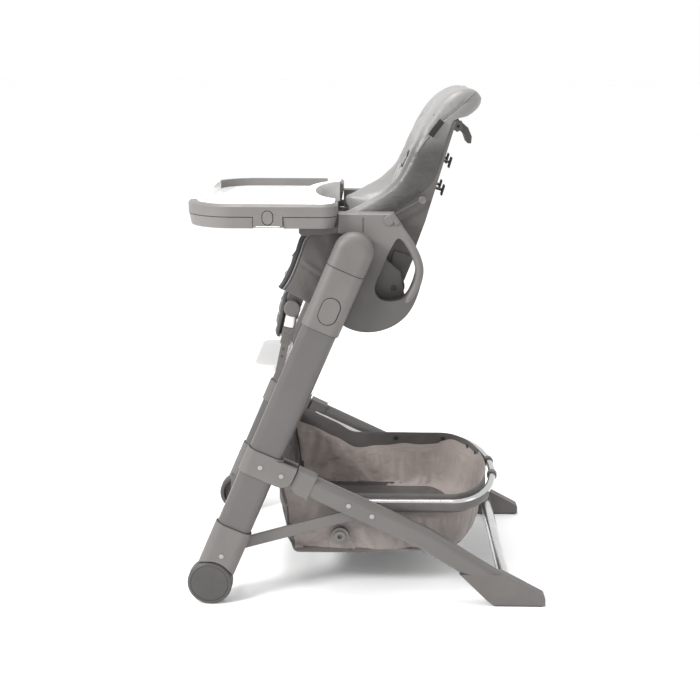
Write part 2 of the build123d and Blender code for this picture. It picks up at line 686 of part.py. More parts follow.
with BuildPart() as recline_lever:
    add(slab([(176, 975), (190, 978), (204, 966), (212, 948), (211, 934), (204, 934), (198, 950),
              (186, 962), (176, 964)], 46).part)
    with BuildSketch(side(-58)):
        with Locations((182, 970)):
            Circle(3)
    extrude(amount=116)

# ---------------------------------------------------------------- tray


def tray_plan(inset):
    """Tray outline: large front corners, small rear corners, belly cut-out."""
    with BuildSketch() as plan:
        with Locations((0, (TRAY_FRONT + TRAY_REAR) / 2)):
            Rectangle(2 * (TRAY_HALF - inset), TRAY_REAR - TRAY_FRONT - 2 * inset)
        fillet(plan.vertices().group_by(Axis.Y)[0], radius=98 - inset)
        fillet(plan.vertices().group_by(Axis.Y)[-1], radius=30 - inset / 2)
        with Locations((0, TRAY_REAR + 6)):
            Ellipse(172 + inset, 62 + inset, mode=Mode.SUBTRACT)
    return plan.sketch


BLOCK = (-222.0, -165.0)         # Y range of the release block
RELEASE = (-194.0, 806.0)        # Y, Z of its button
BLOCK_GAP = 1.2                  # shadow gap beside the release block
SEAM_GAP = 1.8                   # height of the groove between the two halves of the tray
LOWER_TOP = TRAY_SEAM - 0.8
RIM = 16.0                       # width of the rim around the well
with BuildPart() as tray_lower:
    with BuildSketch(Plane.XY.offset(TRAY_LOW)):
        add(tray_plan(5))
    with BuildSketch(Plane.XY.offset(LOWER_TOP - SEAM_GAP)):
        add(tray_plan(0.8))
    loft()
    with BuildSketch(Plane.XY.offset(LOWER_TOP - SEAM_GAP)):
        add(tray_plan(3.2))
    extrude(amount=SEAM_GAP)
    with BuildSketch(Plane.XY.offset(TRAY_LOW + 3)):
        add(tray_plan(9))
    extrude(amount=30, mode=Mode.SUBTRACT)
    for x in (-257, 257):
        with Locations((x, sum(BLOCK) / 2, TRAY_LOW)):
            Box(26, BLOCK[1] - BLOCK[0] + 2 * BLOCK_GAP, 60, mode=Mode.SUBTRACT)

with BuildPart() as tray_upper:
    with BuildSketch(Plane.XY.offset(LOWER_TOP)):
        add(tray_plan(0))
    extrude(amount=TRAY_TOP - LOWER_TOP)
    chamfer(tray_upper.faces().sort_by(Axis.Z)[-1].outer_wire().edges(), length=4)
    for x in (-255.5, 255.5):
        with Locations((x, sum(BLOCK) / 2, (TRAY_LOW + 2 + TRAY_SEAM + 2) / 2)):
            Box(22, BLOCK[1] - BLOCK[0], TRAY_SEAM - TRAY_LOW)
    with BuildSketch(Plane.XY.offset(TRAY_SEAM + 3)):
        add(tray_plan(RIM))
    extrude(amount=40, mode=Mode.SUBTRACT)
    for x, direction in ((TRAY_HALF + 1, -1), (-TRAY_HALF - 1, 1)):
        with BuildSketch(Plane(origin=(x, 0, 0), x_dir=(0, 1, 0), z_dir=(1, 0, 0))):
            with Locations(RELEASE):
                SlotOverall(26 + 2 * BUTTON_GAP, 20 + 2 * BUTTON_GAP, rotation=90)
        extrude(amount=direction * 8, mode=Mode.SUBTRACT)

with BuildPart() as tray_release_left:
    with BuildSketch(side(TRAY_HALF - 5)):
        with Locations(RELEASE):
            SlotOverall(26, 20, rotation=90)
    extrude(amount=6.5)
    fillet(tray_release_left.edges().group_by(Axis.X)[-1], radius=1.2)

INSERT_FLOOR = TRAY_SEAM + 3
INSERT_SKIN = 2.5
LIP_LOW = TRAY_TOP + CLEAR
LIP_TOP = LIP_LOW + 1.8
LIP_HALF = 176.0                 # half width of the lip over the front rim
APRON = 2.0                      # skin of the lip that hangs in the belly cut-out


def belly_ring(outer, inner):
    """Ring round the belly cut-out, ahead of the tray's rear edge."""
    with Locations((0, TRAY_REAR + 6)):
        Ellipse(172 + outer, 62 + outer)
        Ellipse(172 + inner, 62 + inner, mode=Mode.SUBTRACT)
    with Locations((0, TRAY_REAR - 7.5 + 100)):
        Rectangle(2 * TRAY_HALF, 200, mode=Mode.SUBTRACT)


with BuildPart() as tray_insert:
    with BuildSketch(Plane.XY.offset(INSERT_FLOOR)):
        add(tray_plan(RIM + 0.6))
    extrude(amount=LIP_LOW - INSERT_FLOOR)
    with BuildSketch(Plane.XY.offset(LIP_LOW)):
        add(tray_plan(5.5))
    extrude(amount=LIP_TOP - LIP_LOW)
    with BuildSketch(Plane.XY.offset(INSERT_FLOOR + INSERT_SKIN)):
        add(tray_plan(RIM + 3))
        for x in (-TRAY_HALF, TRAY_HALF):                # no wall or lip along the sides
            with Locations((x, TRAY_FRONT)):
                Rectangle(2 * (TRAY_HALF - LIP_HALF), 2 * (TRAY_REAR - TRAY_FRONT - 38))
    extrude(amount=40, mode=Mode.SUBTRACT)
    with BuildSketch(Plane.XY.offset(TRAY_LOW + 4)):
        belly_ring(-0.5, -0.5 - APRON)
    extrude(amount=LIP_TOP - TRAY_LOW - 4)
    with BuildSketch(Plane.XY.offset(LIP_LOW)):
        belly_ring(8, -0.5 - APRON)
    extrude(amount=LIP_TOP - LIP_LOW)

# ---------------------------------------------------------------- footrest
CS, CC = sin(radians(CALF_LEAN)), cos(radians(CALF_LEAN))


def down_calf(along, behind=0.0):
    """Y, Z along the calf panel below the footrest pivot, and behind it."""
    return (FOOTREST_PIVOT[0] - along * CS + behind * CC, FOOTREST_PIVOT[1] - along * CC - behind * CS)


def calf_strip(along, behind):
    (a0, a1), (b0, b1) = along, behind
    return [down_calf(a0, b0), down_calf(a1, b0), down_calf(a1, b1), down_calf(a0, b1)]


ARM_X = (123.0, 133.0)
with BuildPart() as calf_panel:
    add(slab(calf_strip((-2, 74), (-13, -5)), 116).part)
    for x in (ARM_X[0], -ARM_X[1]):
        with BuildSketch(side(x)):
            with BuildLine():
                Polyline(*calf_strip((0, 100), (-8, 6)), close=True)
            make_face()
            with Locations(FOOTREST_PIVOT):
                Circle(14)
        extrude(amount=ARM_X[1] - ARM_X[0])
    for x in (100, -ARM_X[0]):
        with BuildSketch(side(x)):
            with BuildLine():
                Polyline(*calf_strip((10, 26), (-9, -5)), close=True)
            make_face()
        extrude(amount=ARM_X[0] - 100)

calf_pad = slab(calf_strip((-14, 72), (-24, -13.2)), 114)

LUG_OUT = 160.0
with BuildPart() as knob_left:
    with BuildSketch(side(LUG_OUT + CLEAR)):
        with Locations(FOOTREST_PIVOT):
            Circle(17)
    extrude(amount=13)
    fillet(knob_left.edges().group_by(Axis.X)[-1], radius=3)
    with BuildSketch(side(ARM_X[1])):
        with Locations(FOOTREST_PIVOT):
            Circle(5)
    extrude(amount=LUG_OUT + CLEAR - ARM_X[1])

with BuildPart() as foot_sleeve_left:
    with BuildSketch(side(ARM_X[0] - 2.5)):
        with BuildLine():
            Polyline(*calf_strip((50, 86), (-11, 9)), close=True)
        make_face()
    extrude(amount=15)
    with BuildSketch(side(ARM_X[0] - 2.5)):
        with BuildLine():
            Polyline(*calf_strip((84, 146), (-9, 7)), close=True)
        make_face()
    extrude(amount=15)
    with BuildSketch(side(ARM_X[0] - CLEAR)):
        with BuildLine():
            Polyline(*calf_strip((40, 141), (-8.3, 6.3)), close=True)
        make_face()
    extrude(amount=10 + 2 * CLEAR, mode=Mode.SUBTRACT)
    with BuildSketch(side(ARM_X[0] + 11)):
        with Locations(down_calf(96, -1), down_calf(112, -1)):
            Circle(3)
    extrude(amount=3, mode=Mode.SUBTRACT)

with BuildPart() as foot_plate:
    with BuildSketch(Plane.XY.offset(461)):
        with Locations((0, -209)):
            RectangleRounded(240, 70, 30)
    extrude(amount=14)
    fillet(foot_plate.edges().group_by(Axis.Z)[-1], radius=5)
    fillet(foot_plate.edges().group_by(Axis.Z)[0], radius=3)
    add(both_sides(foot_sleeve_left).part, mode=Mode.SUBTRACT)

# ---------------------------------------------------------------- export
nodes = {
    "post_left": post_left, "wheel_left": wheel_left, "hubcap_left": hubcap_left,
    "leg_left": leg_left,
    "carriage_left": carriage_left, "height_button_left": height_button_left,
    "side_panel_left": panel_left, "tray_release_left": tray_release_left,
}
pairs = {
    "post_caps": cap_left, "post_boots": boot_left, "sliding_collars": collar_left,
    "leg_brackets": bracket_left, "rear_feet": foot_left, "lower_links": link_left,
    "wheel_axles": axle_left, "link_pins": link_pin_left, "collar_pins": collar_pin_left,
    "foot_pads": foot_pad_left, "crossbar_rings": crossbar_ring_left, "link_studs": link_stud_left,
    "hoop_spacers": hoop_spacer_left, "leg_rivets": leg_rivet_left,
    "basket_bosses": basket_boss_left, "hoop_rings": hoop_ring_left, "arm_end_caps": arm_end_left,
    "tray_rails": rail_left, "recline_pins": recline_pin_left, "shoulder_straps": shoulder_strap_left,
    "waist_straps": waist_strap_left, "footrest_knobs": knob_left, "footrest_sleeves": foot_sleeve_left,
}
singles = {
    "front_cross_tube": cross_tube, "rear_crossbar": crossbar, "basket_hoop": hoop,
    "basket_tub": basket_tub, "basket_board": basket_board, "seat_shell": seat_shell,
    "seat_pad": seat_pad, "back_shell": back_shell, "back_pad": back_pad,
    "crotch_strap": crotch_strap, "buckle": buckle, "buckle_button": buckle_button,
    "strap_triglides": triglides, "handle_mount": handle_mount, "recline_lever": recline_lever,
    "tray_lower": tray_lower, "tray_upper": tray_upper, "tray_insert": tray_insert,
    "calf_panel": calf_panel, "calf_pad": calf_pad, "foot_plate": foot_plate,
}
for label, piece in list(nodes.items()):
    nodes[label.replace("left", "right")] = mirrored(piece)
nodes.update({label: both_sides(piece) for label, piece in pairs.items()})
nodes.update(singles)

os.makedirs("parts", exist_ok=True)
for label, piece in nodes.items():
    piece.part.label = label
    export_step(piece.part, f"parts/{label}.step")
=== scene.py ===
"""Baby high chair: materials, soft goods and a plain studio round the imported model."""
import bpy
import bmesh
import numpy as np
from math import radians, sin, cos, pi, hypot, atan2, sqrt
from mathutils import Vector, Matrix
from mathutils.bvhtree import BVHTree


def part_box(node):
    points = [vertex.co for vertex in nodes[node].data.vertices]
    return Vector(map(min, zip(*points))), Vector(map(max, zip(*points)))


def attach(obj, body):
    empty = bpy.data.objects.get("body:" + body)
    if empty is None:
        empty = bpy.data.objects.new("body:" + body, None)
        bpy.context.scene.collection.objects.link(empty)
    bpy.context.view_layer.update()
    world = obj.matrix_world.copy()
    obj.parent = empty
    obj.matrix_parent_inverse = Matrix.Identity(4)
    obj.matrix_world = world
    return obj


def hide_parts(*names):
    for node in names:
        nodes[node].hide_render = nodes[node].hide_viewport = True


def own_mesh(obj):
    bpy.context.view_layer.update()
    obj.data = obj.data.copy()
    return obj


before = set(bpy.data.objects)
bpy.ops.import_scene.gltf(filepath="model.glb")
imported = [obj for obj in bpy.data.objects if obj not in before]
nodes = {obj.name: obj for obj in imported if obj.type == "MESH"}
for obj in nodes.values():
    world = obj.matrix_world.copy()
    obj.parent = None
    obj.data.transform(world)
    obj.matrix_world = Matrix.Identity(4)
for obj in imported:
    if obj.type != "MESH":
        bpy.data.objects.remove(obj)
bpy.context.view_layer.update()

MM = 0.001
SIDES = (("left", 1), ("right", -1))


# ---------------- materials
class Shader:
    """A small wrapper that adds and links the nodes of one material."""

    def __init__(self, name, colour, rough, metallic=0.0, coat=0.0, sheen=0.0, specular=0.5):
        self.mat = bpy.data.materials.new(name)
        self.mat.use_nodes = True
        self.tree = self.mat.node_tree
        self.bsdf = self.tree.nodes["Principled BSDF"]
        self.set("Base Color", (*colour, 1.0))
        self.set("Roughness", rough)
        self.set("Metallic", metallic)
        self.set("Coat Weight", coat)
        self.set("Coat Roughness", 0.18)
        self.set("Sheen Weight", sheen)
        self.set("Specular IOR Level", specular)
        self.colour, self.rough = colour, rough
        self.coords = self.tree.nodes.new("ShaderNodeTexCoord").outputs["Object"]

    def set(self, socket, value):
        self.bsdf.inputs[socket].default_value = value

    def link(self, a, b):
        self.tree.links.new(a, b)

    def add(self, kind, inputs=(), **fields):
        n = self.tree.nodes.new(kind)
        for k, v in fields.items():
            setattr(n, k, v)
        for k, v in dict(inputs).items():
            if isinstance(v, bpy.types.NodeSocket):
                self.link(v, n.inputs[k])
            else:
                n.inputs[k].default_value = v
        return n

    def stretched(self, scale):
        return self.add("ShaderNodeMapping", {"Vector": self.coords, "Scale": scale}).outputs["Vector"]

    def noise(self, scale, detail=3.0, rough=0.5, vector=None, distortion=0.0):
        return self.add("ShaderNodeTexNoise", {
            "Vector": vector or self.coords, "Scale": scale, "Detail": detail,
            "Roughness": rough, "Distortion": distortion}).outputs["Fac"]

    def cells(self, scale, vector=None, feature="F1"):
        return self.add("ShaderNodeTexVoronoi", {"Vector": vector or self.coords, "Scale": scale},
                        feature=feature).outputs["Distance"]

    def wave(self, scale, direction, vector=None, distortion=0.0):
        return self.add("ShaderNodeTexWave", {"Vector": vector or self.coords, "Scale": scale,
                                              "Distortion": distortion, "Detail": 1.0},
                        bands_direction=direction).outputs["Fac"]

    def remap(self, value, low, high, to_low=0.0, to_high=1.0):
        return self.add("ShaderNodeMapRange", {"Value": value, "From Min": low, "From Max": high,
                                               "To Min": to_low, "To Max": to_high}).outputs["Result"]

    def ramp(self, value, low, high):
        """From 0 at low to 1 at high, easing in and out."""
        return self.add("ShaderNodeMapRange", {"Value": value, "From Min": low, "From Max": high},
                        interpolation_type="SMOOTHSTEP").outputs["Result"]

    def along_axes(self):
        """X, Y and Z of the object's own coordinates, in metres."""
        return self.add("ShaderNodeSeparateXYZ", {0: self.coords}).outputs

    def math(self, operation, a, b=0.0):
        n = self.add("ShaderNodeMath", operation=operation)
        for i, v in enumerate((a, b)):
            if isinstance(v, bpy.types.NodeSocket):
                self.link(v, n.inputs[i])
            else:
                n.inputs[i].default_value = v
        return n.outputs[0]

    def tint(self, amount, dark=0.85, light=1.12):
        """Varies the base colour between a darker and a lighter tone."""
        mix = self.add("ShaderNodeMix", data_type="RGBA")
        mix.inputs[6].default_value = (*[c * dark for c in self.colour], 1)
        mix.inputs[7].default_value = (*[min(1.0, c * light) for c in self.colour], 1)
        self.link(amount, mix.inputs[0])
        self.link(mix.outputs[2], self.bsdf.inputs["Base Color"])
        return mix

    def shift(self, amount, colour):
        """Moves the base colour, with whatever already varies it, towards another one."""
        under = self.bsdf.inputs["Base Color"].links[0].from_socket
        mix = self.add("ShaderNodeMix", data_type="RGBA")
        mix.inputs[7].default_value = (*colour, 1)
        self.link(amount, mix.inputs[0])
        self.link(under, mix.inputs[6])
        self.link(mix.outputs[2], self.bsdf.inputs["Base Color"])

    def gloss(self, amount, low, high):
        self.link(self.remap(amount, 0.3, 0.7, low, high), self.bsdf.inputs["Roughness"])

    def bump(self, *layers, edge=0.0):
        """Each layer is (height socket, distance in mm), over edges rounded by a radius in mm."""
        normal = None
        if edge:
            normal = self.add("ShaderNodeBevel", {"Radius": edge * MM}, samples=6).outputs["Normal"]
        for height, distance in layers:
            n = self.add("ShaderNodeBump", {"Height": height, "Distance": distance * MM, "Strength": 1.0})
            if normal is not None:
                self.link(normal, n.inputs["Normal"])
            normal = n.outputs["Normal"]
        self.link(normal, self.bsdf.inputs["Normal"])

    def worn_and_lit_edges(self, mix, radius=1.2, light=1.35):
        """Corners a little paler: partly wear where hands and shoes rub them, partly a painted highlight
        along the rounded edges.
        """
        rounded = self.add("ShaderNodeBevel", {"Radius": radius * MM}, samples=6).outputs["Normal"]
        flat = self.add("ShaderNodeNewGeometry").outputs["Normal"]
        dot = self.add("ShaderNodeVectorMath", {0: rounded, 1: flat}, operation="DOT_PRODUCT")
        edge = self.remap(dot.outputs["Value"], 0.995, 0.86, 0.0, 0.55)
        patchy = self.math("MULTIPLY", edge, self.remap(self.noise(60.0, 4.0), 0.35, 0.65))
        over = self.add("ShaderNodeMix", data_type="RGBA")
        self.link(patchy, over.inputs[0])
        self.link(mix.outputs[2], over.inputs[6])
        over.inputs[7].default_value = (*[min(1.0, c * light + 0.02) for c in self.colour], 1)
        self.link(over.outputs[2], self.bsdf.inputs["Base Color"])


def painted(name, colour, rough=0.36):
    """Powder-coated tube: fine orange peel and a soft lustre."""
    s = Shader(name, colour, rough, coat=0.12)
    mix = s.tint(s.remap(s.noise(7.0, 4.0), 0.35, 0.65), 0.95, 1.05)
    s.worn_and_lit_edges(mix)
    s.gloss(s.noise(40.0, 3.0), rough - 0.05, rough + 0.07)
    s.bump((s.noise(900.0, 2.0), 0.02), (s.cells(420.0), 0.012), edge=0.8)
    return s.mat


def moulded(name, colour, rough=0.48, grain=0.05, edge=1.0, coat=0.0, top=None):
    """Injection-moulded plastic with a spark-eroded grain. top is (colour, low, high): a lighter tone painted
    higher up, as painted light above and painted shade below.
    """
    s = Shader(name, colour, rough, coat=coat)
    mix = s.tint(s.remap(s.noise(11.0, 5.0), 0.35, 0.65), 0.94, 1.06)
    s.worn_and_lit_edges(mix)
    s.gloss(s.noise(55.0, 4.0), rough - 0.05, rough + 0.08)
    s.bump((s.noise(1500.0, 3.0, 0.6), grain), (s.cells(1100.0), grain * 0.6), edge=edge)
    # painted light and shade: the colour grows lighter with height
    if top:
        s.shift(s.ramp(s.along_axes()[2], *top[1:]), top[0])
    return s.mat


def metal(name, colour, rough=0.24, along=(1.0, 60.0, 60.0)):
    """Drawn or brushed metal with fine lines along one axis."""
    s = Shader(name, colour, rough, metallic=1.0)
    s.tint(s.remap(s.noise(14.0, 4.0), 0.35, 0.65), 0.93, 1.03)
    lines = s.noise(22.0, 3.0, 0.6, s.stretched(along))
    s.gloss(lines, rough - 0.07, rough + 0.12)
    s.bump((lines, 0.02), edge=0.6)
    return s.mat


SHELL_FOOT = (0.054, 0.622)       # a point of the shell's rear line, (Y, Z) in metres
SHELL_LEAN = 0.33                 # and how far it leans back for each metre up


def leatherette(name, colour, rough=0.42, coat=0.18, painted_shade=None):
    """Soft coated fabric with a pebble grain and shallow creases. shade is a darker colour painted on the
    wing's outer sides beside the shell, as painted shade.
    """
    s = Shader(name, colour, rough, coat=coat, sheen=0.08)
    s.set("Coat Roughness", 0.3)
    blotch = s.remap(s.noise(9.0, 5.0, 0.6), 0.3, 0.7)
    s.tint(blotch, 0.93, 1.05)
    s.gloss(s.noise(26.0, 4.0), rough - 0.07, rough + 0.1)
    crease = s.noise(16.0, 6.0, 0.62, distortion=0.8)
    pebble = s.cells(620.0, feature="SMOOTH_F1")
    s.bump((crease, 2.2), (pebble, 0.16), (s.noise(2300.0, 2.0), 0.03))
    if painted_shade:
        # painted shade: darker on the wing's outer sides towards the shell, below the head
        x, y, z = s.along_axes()
        rise = s.math("MULTIPLY", s.math("SUBTRACT", z, SHELL_FOOT[1]), SHELL_LEAN)
        depth = s.math("SUBTRACT", s.math("ADD", rise, SHELL_FOOT[0]), y)
        beside = s.ramp(s.math("ABSOLUTE", x), 0.150, 0.166)
        low = s.ramp(z, 0.985, 0.915)
        shade_near_shell = s.ramp(depth, 0.132, 0.042)
        s.shift(s.math("MULTIPLY", s.math("MULTIPLY", beside, low), shade_near_shell), painted_shade)
    return s.mat


def woven(name, colour, thread=0.9, rough=0.82, slub=0.25, creases=0.0):
    """Plain weave: two crossed sets of threads, with slubs and shading between them."""
    s = Shader(name, colour, rough, sheen=0.25, specular=0.25)
    k = 1.0 / (thread * MM) / 2
    warp = s.wave(k, "X", distortion=0.5)
    weft = s.wave(k, "Z", distortion=0.5)
    side = s.wave(k, "Y", distortion=0.5)
    mesh = s.math("MAXIMUM", s.math("MULTIPLY", warp, weft), s.math("MULTIPLY", side, weft))
    patch = s.noise(34.0, 5.0, 0.62)
    tone = s.math("ADD", s.math("MULTIPLY", mesh, 0.45), s.math("MULTIPLY", patch, 0.7))
    s.tint(s.remap(tone, 0.15, 0.95), 1.0 - slub, 1.0 + slub * 0.6)
    layers = [(mesh, 0.12)]
    if creases:
        layers.insert(0, (s.noise(11.0, 7.0, 0.6, s.stretched((1.0, 1.0, 2.4)), 1.2), creases))
    s.bump(*layers)
    return s.mat


def ribbed(name, colour):
    """Harness webbing: fine ribs across and a herringbone along."""
    s = Shader(name, colour, 0.72, sheen=0.2, specular=0.3)
    ribs = s.wave(520.0, "Z", distortion=0.3)
    cord = s.wave(430.0, "X", distortion=0.3)
    s.tint(s.remap(s.math("ADD", ribs, s.noise(120.0)), 0.3, 1.4), 0.75, 1.2)
    s.bump((ribs, 0.2), (cord, 0.1))
    return s.mat


post_metal = painted("post_metal", (0.081, 0.076, 0.072))
leg_metal = painted("leg_metal", (0.100, 0.094, 0.089))
link_metal = painted("link_metal", (0.106, 0.099, 0.094), 0.4)
grey_plastic = moulded("grey_plastic", (0.122, 0.114, 0.108))
cap_plastic = moulded("cap_plastic", (0.117, 0.109, 0.104))
foot_plastic = moulded("foot_plastic", (0.108, 0.101, 0.096), 0.52)
wheel_plastic = moulded("wheel_plastic", (0.060, 0.056, 0.053), 0.55)
hub_plastic = moulded("hub_plastic", (0.054, 0.051, 0.0485), 0.6)
# side panels: grey plastic darkened lower down as a painted shadow of the posts, paler towards the arm as
# painted light
PANEL_BASE = nodes["side_panel_left"].matrix_world.translation.z
panel_plastic = moulded("panel_plastic", (0.066, 0.062, 0.0585),
                        top=((0.140, 0.132, 0.126), 0.690 - PANEL_BASE, 0.775 - PANEL_BASE))
tray_plastic = moulded("tray_plastic", (0.148, 0.140, 0.134), 0.4, 0.04)
dark_plastic = moulded("dark_plastic", (0.078, 0.072, 0.068), 0.5)
black_plastic = moulded("black_plastic", (0.02, 0.018, 0.018), 0.45)
white_plastic = moulded("white_plastic", (0.87, 0.87, 0.86), 0.2, 0.012, 1.2, coat=0.4)
plate_plastic = moulded("plate_plastic", (0.78, 0.775, 0.77), 0.42, 0.05, 1.2)
bare_metal = metal("bare_metal", (0.66, 0.66, 0.665), 0.2)
hoop_metal = metal("hoop_metal", (0.58, 0.58, 0.585), 0.2, (60.0, 1.0, 60.0))
steel = metal("steel", (0.30, 0.297, 0.294), 0.32, (20.0, 20.0, 20.0))
rubber = moulded("rubber", (0.035, 0.034, 0.033), 0.8, 0.12, 0.8)
pale_leather = leatherette("pale_leather", (0.210, 0.203, 0.196))
calf_leather = leatherette("calf_leather", (0.066, 0.062, 0.060))
# the back cushion gets painted shade on its wings beside the shell
back_leather = leatherette("back_leather", (0.190, 0.184, 0.178), painted_shade=(0.040, 0.0375, 0.0355))
# the seat's side flaps: leatherette darkened as painted shade under the tray
side_leather = leatherette("side_leather", (0.072, 0.066, 0.062), 0.5, 0.08)
piping_leather = leatherette("piping_leather", (0.150, 0.144, 0.139), 0.4, 0.2)
basket_cloth = woven("basket_cloth", (0.225, 0.197, 0.184), 1.1, creases=4.0)
# the lining: the basket cloth made lighter as painted light on the inner walls
lining_cloth = woven("lining_cloth", (0.42, 0.366, 0.340), 1.1, creases=4.0)
# the front wall's cloth, darkened as painted shade
front_cloth = woven("front_cloth", (0.085, 0.076, 0.072), 1.2, creases=3.0)
hem_cloth = woven("hem_cloth", (0.105, 0.097, 0.093), 1.3)
board_cloth = woven("board_cloth", (0.082, 0.075, 0.072), 1.1, slub=0.18)
webbing = ribbed("webbing", (0.085, 0.08, 0.078))
tag_cloth = woven("tag_cloth", (0.02, 0.019, 0.019), 0.7)

FINISHES = (
    (post_metal, "post_left post_right front_cross_tube"), (leg_metal, "leg_left leg_right"),
    (link_metal, "lower_links"), (cap_plastic, "leg_brackets post_caps"), (foot_plastic, "rear_feet"),
    (wheel_plastic, "wheel_left wheel_right"), (hub_plastic, "hubcap_left hubcap_right"),
    (bare_metal, "rear_crossbar"), (hoop_metal, "basket_hoop"), (rubber, "foot_pads"),
    (tray_plastic, "tray_lower tray_upper tray_release_left tray_release_right"),
    (white_plastic, "tray_insert"), (plate_plastic, "foot_plate"),
    (panel_plastic, "side_panel_left side_panel_right"), (black_plastic, "strap_triglides recline_pins"),
    # tray_rails take the dark plastic as painted shade under the tray
    (dark_plastic, "back_shell seat_shell buckle recline_lever tray_rails"),
    (steel, "wheel_axles link_pins collar_pins leg_rivets link_studs hoop_spacers"),
)
finish = {name: material for material, names in FINISHES for name in names.split()}
for name, obj in nodes.items():
    obj.data.materials.clear()
    obj.data.materials.append(finish.get(name, grey_plastic))
    obj.data.polygons.foreach_set("use_smooth", [True] * len(obj.data.polygons))
    obj.data.set_sharp_from_angle(angle=radians(28))


# ---------------- mesh helpers
def circle(count):
    """Angles of evenly spaced points round a closed curve."""
    return np.linspace(0, 2 * pi, count, endpoint=False)


def new_object(name, verts, faces, material):
    mesh = bpy.data.meshes.new(name)
    mesh.from_pydata([tuple(v) for v in verts], [], faces)
    mesh.validate()
    mesh.materials.append(material)
    mesh.polygons.foreach_set("use_smooth", [True] * len(mesh.polygons))
    obj = bpy.data.objects.new(name, mesh)
    bpy.context.scene.collection.objects.link(obj)
    return obj


def rings_mesh(name, rings, material, closed=True, caps=True):
    """Skin over a list of equal rings of points."""
    n, m = len(rings), len(rings[0])
    verts = [p for r in rings for p in r]
    faces = []
    for i in range(n - 1):
        for j in range(m if closed else m - 1):
            k = (j + 1) % m
            faces.append((i * m + j, i * m + k, (i + 1) * m + k, (i + 1) * m + j))
    if caps and closed:
        faces.append(tuple(range(m))[::-1])
        faces.append(tuple((n - 1) * m + j for j in range(m)))
    obj = new_object(name, verts, faces, material)
    bm = bmesh.new()
    bm.from_mesh(obj.data)
    bmesh.ops.recalc_face_normals(bm, faces=bm.faces)
    bm.to_mesh(obj.data)
    bm.free()
    return obj


def smooth_line(points, count):
    """Evenly spaced points on a centripetal curve through the given ones."""
    p = np.array(points, float)
    q = np.vstack([2 * p[0] - p[1], p, 2 * p[-1] - p[-2]])
    out = []
    for i in range(1, len(q) - 2):
        for t in np.linspace(0, 1, 24, endpoint=False):
            a, b, c, d = q[i - 1], q[i], q[i + 1], q[i + 2]
            out.append(0.5 * (2 * b + (c - a) * t + (2 * a - 5 * b + 4 * c - d) * t * t
                              + (3 * b - a - 3 * c + d) * t ** 3))
    out.append(q[-2])
    out = np.array(out)
    length = np.r_[0, np.cumsum(np.linalg.norm(np.diff(out, axis=0), axis=1))]
    at = np.linspace(0, length[-1], count)
    return np.array([[np.interp(v, length, out[:, k]) for k in range(out.shape[1])] for v in at])


def tube(name, points, radius, material, sides=10, count=None, flat=1.0):
    """Round or oval tube along a line of points in metres."""
    path = smooth_line(points, count or max(8, 6 * len(points)))
    rings, up = [], Vector((0, 0, 1))
    for i, p in enumerate(path):
        ahead = Vector(path[min(i + 1, len(path) - 1)] - path[max(i - 1, 0)]).normalized()
        if i == 0:
            up = ahead.orthogonal().normalized()
        up = (up - ahead * up.dot(ahead)).normalized()
        across = ahead.cross(up)
        rings.append([Vector(p) + up * radius * cos(2 * pi * k / sides)
                      + across * radius * flat * sin(2 * pi * k / sides) for k in range(sides)])
    return rings_mesh(name, rings, material)


BAND_SECTION = [(-1, -0.6), (-0.94, -1), (0.94, -1), (1, -0.6), (1, 0.6), (0.94, 1), (-0.94, 1), (-1, 0.6)]


def ribbon(name, points, normals, width, thickness, material):
    """Flat band that follows points with a face direction at each."""
    path = smooth_line(points, 6 * len(points))
    face = smooth_line(normals, 6 * len(points))
    rings = []
    for i, p in enumerate(path):
        ahead = Vector(path[min(i + 1, len(path) - 1)] - path[max(i - 1, 0)]).normalized()
        n = Vector(face[i]).normalized()
        n = (n - ahead * n.dot(ahead)).normalized()
        across = ahead.cross(n)
        ring = []
        for u, v in BAND_SECTION:
            ring.append(Vector(p) + across * u * width / 2 + n * v * thickness / 2)
        rings.append(ring)
    return rings_mesh(name, rings, material)


def inflate(obj, pins, pressure, cap, frames=16, grow=0.0, stiffness=12.0, gravity=0.0):
    """Runs the cloth solver on a mesh whose pinned vertices stay, then caps how far each point moved."""
    start = np.array([v.co for v in obj.data.vertices])
    group = obj.vertex_groups.new(name="pins")
    for i, w in pins.items():
        group.add([i], w, "REPLACE")
    mod = obj.modifiers.new("cloth", "CLOTH")
    s = mod.settings
    s.quality = 6
    s.mass = 0.25
    s.tension_stiffness = s.compression_stiffness = stiffness
    s.shear_stiffness = stiffness * 0.6
    s.bending_stiffness = 0.35
    s.air_damping = 2.0
    s.use_pressure = pressure != 0
    s.uniform_pressure_force = pressure
    s.vertex_group_mass = "pins"
    s.pin_stiffness = 4.0
    s.shrink_min = -grow
    s.effector_weights.gravity = gravity
    mod.collision_settings.use_collision = False
    mod.point_cache.frame_start, mod.point_cache.frame_end = 1, frames
    scene = bpy.context.scene
    for f in range(1, frames + 1):
        scene.frame_set(f)
    dg = bpy.context.evaluated_depsgraph_get()
    made = obj.evaluated_get(dg).to_mesh()
    end = np.array([v.co for v in made.vertices])
    obj.evaluated_get(dg).to_mesh_clear()
    obj.modifiers.clear()
    scene.frame_set(1)
    if len(end) != len(start) or not np.isfinite(end).all():
        return
    move = end - start
    far = np.linalg.norm(move, axis=1, keepdims=True)
    move *= np.minimum(1.0, cap / np.maximum(far, 1e-9))
    for v, p in zip(obj.data.vertices, start + move):
        v.co = p


def subdivided(obj, levels=1):
    mod = obj.modifiers.new("smooth", "SUBSURF")
    mod.levels = mod.render_levels = levels
    return obj


def step(t):
    """Eases from 0 to 1 while t goes from 0 to 1."""
    t = np.clip(t, 0, 1)
    return t * t * (3 - 2 * t)


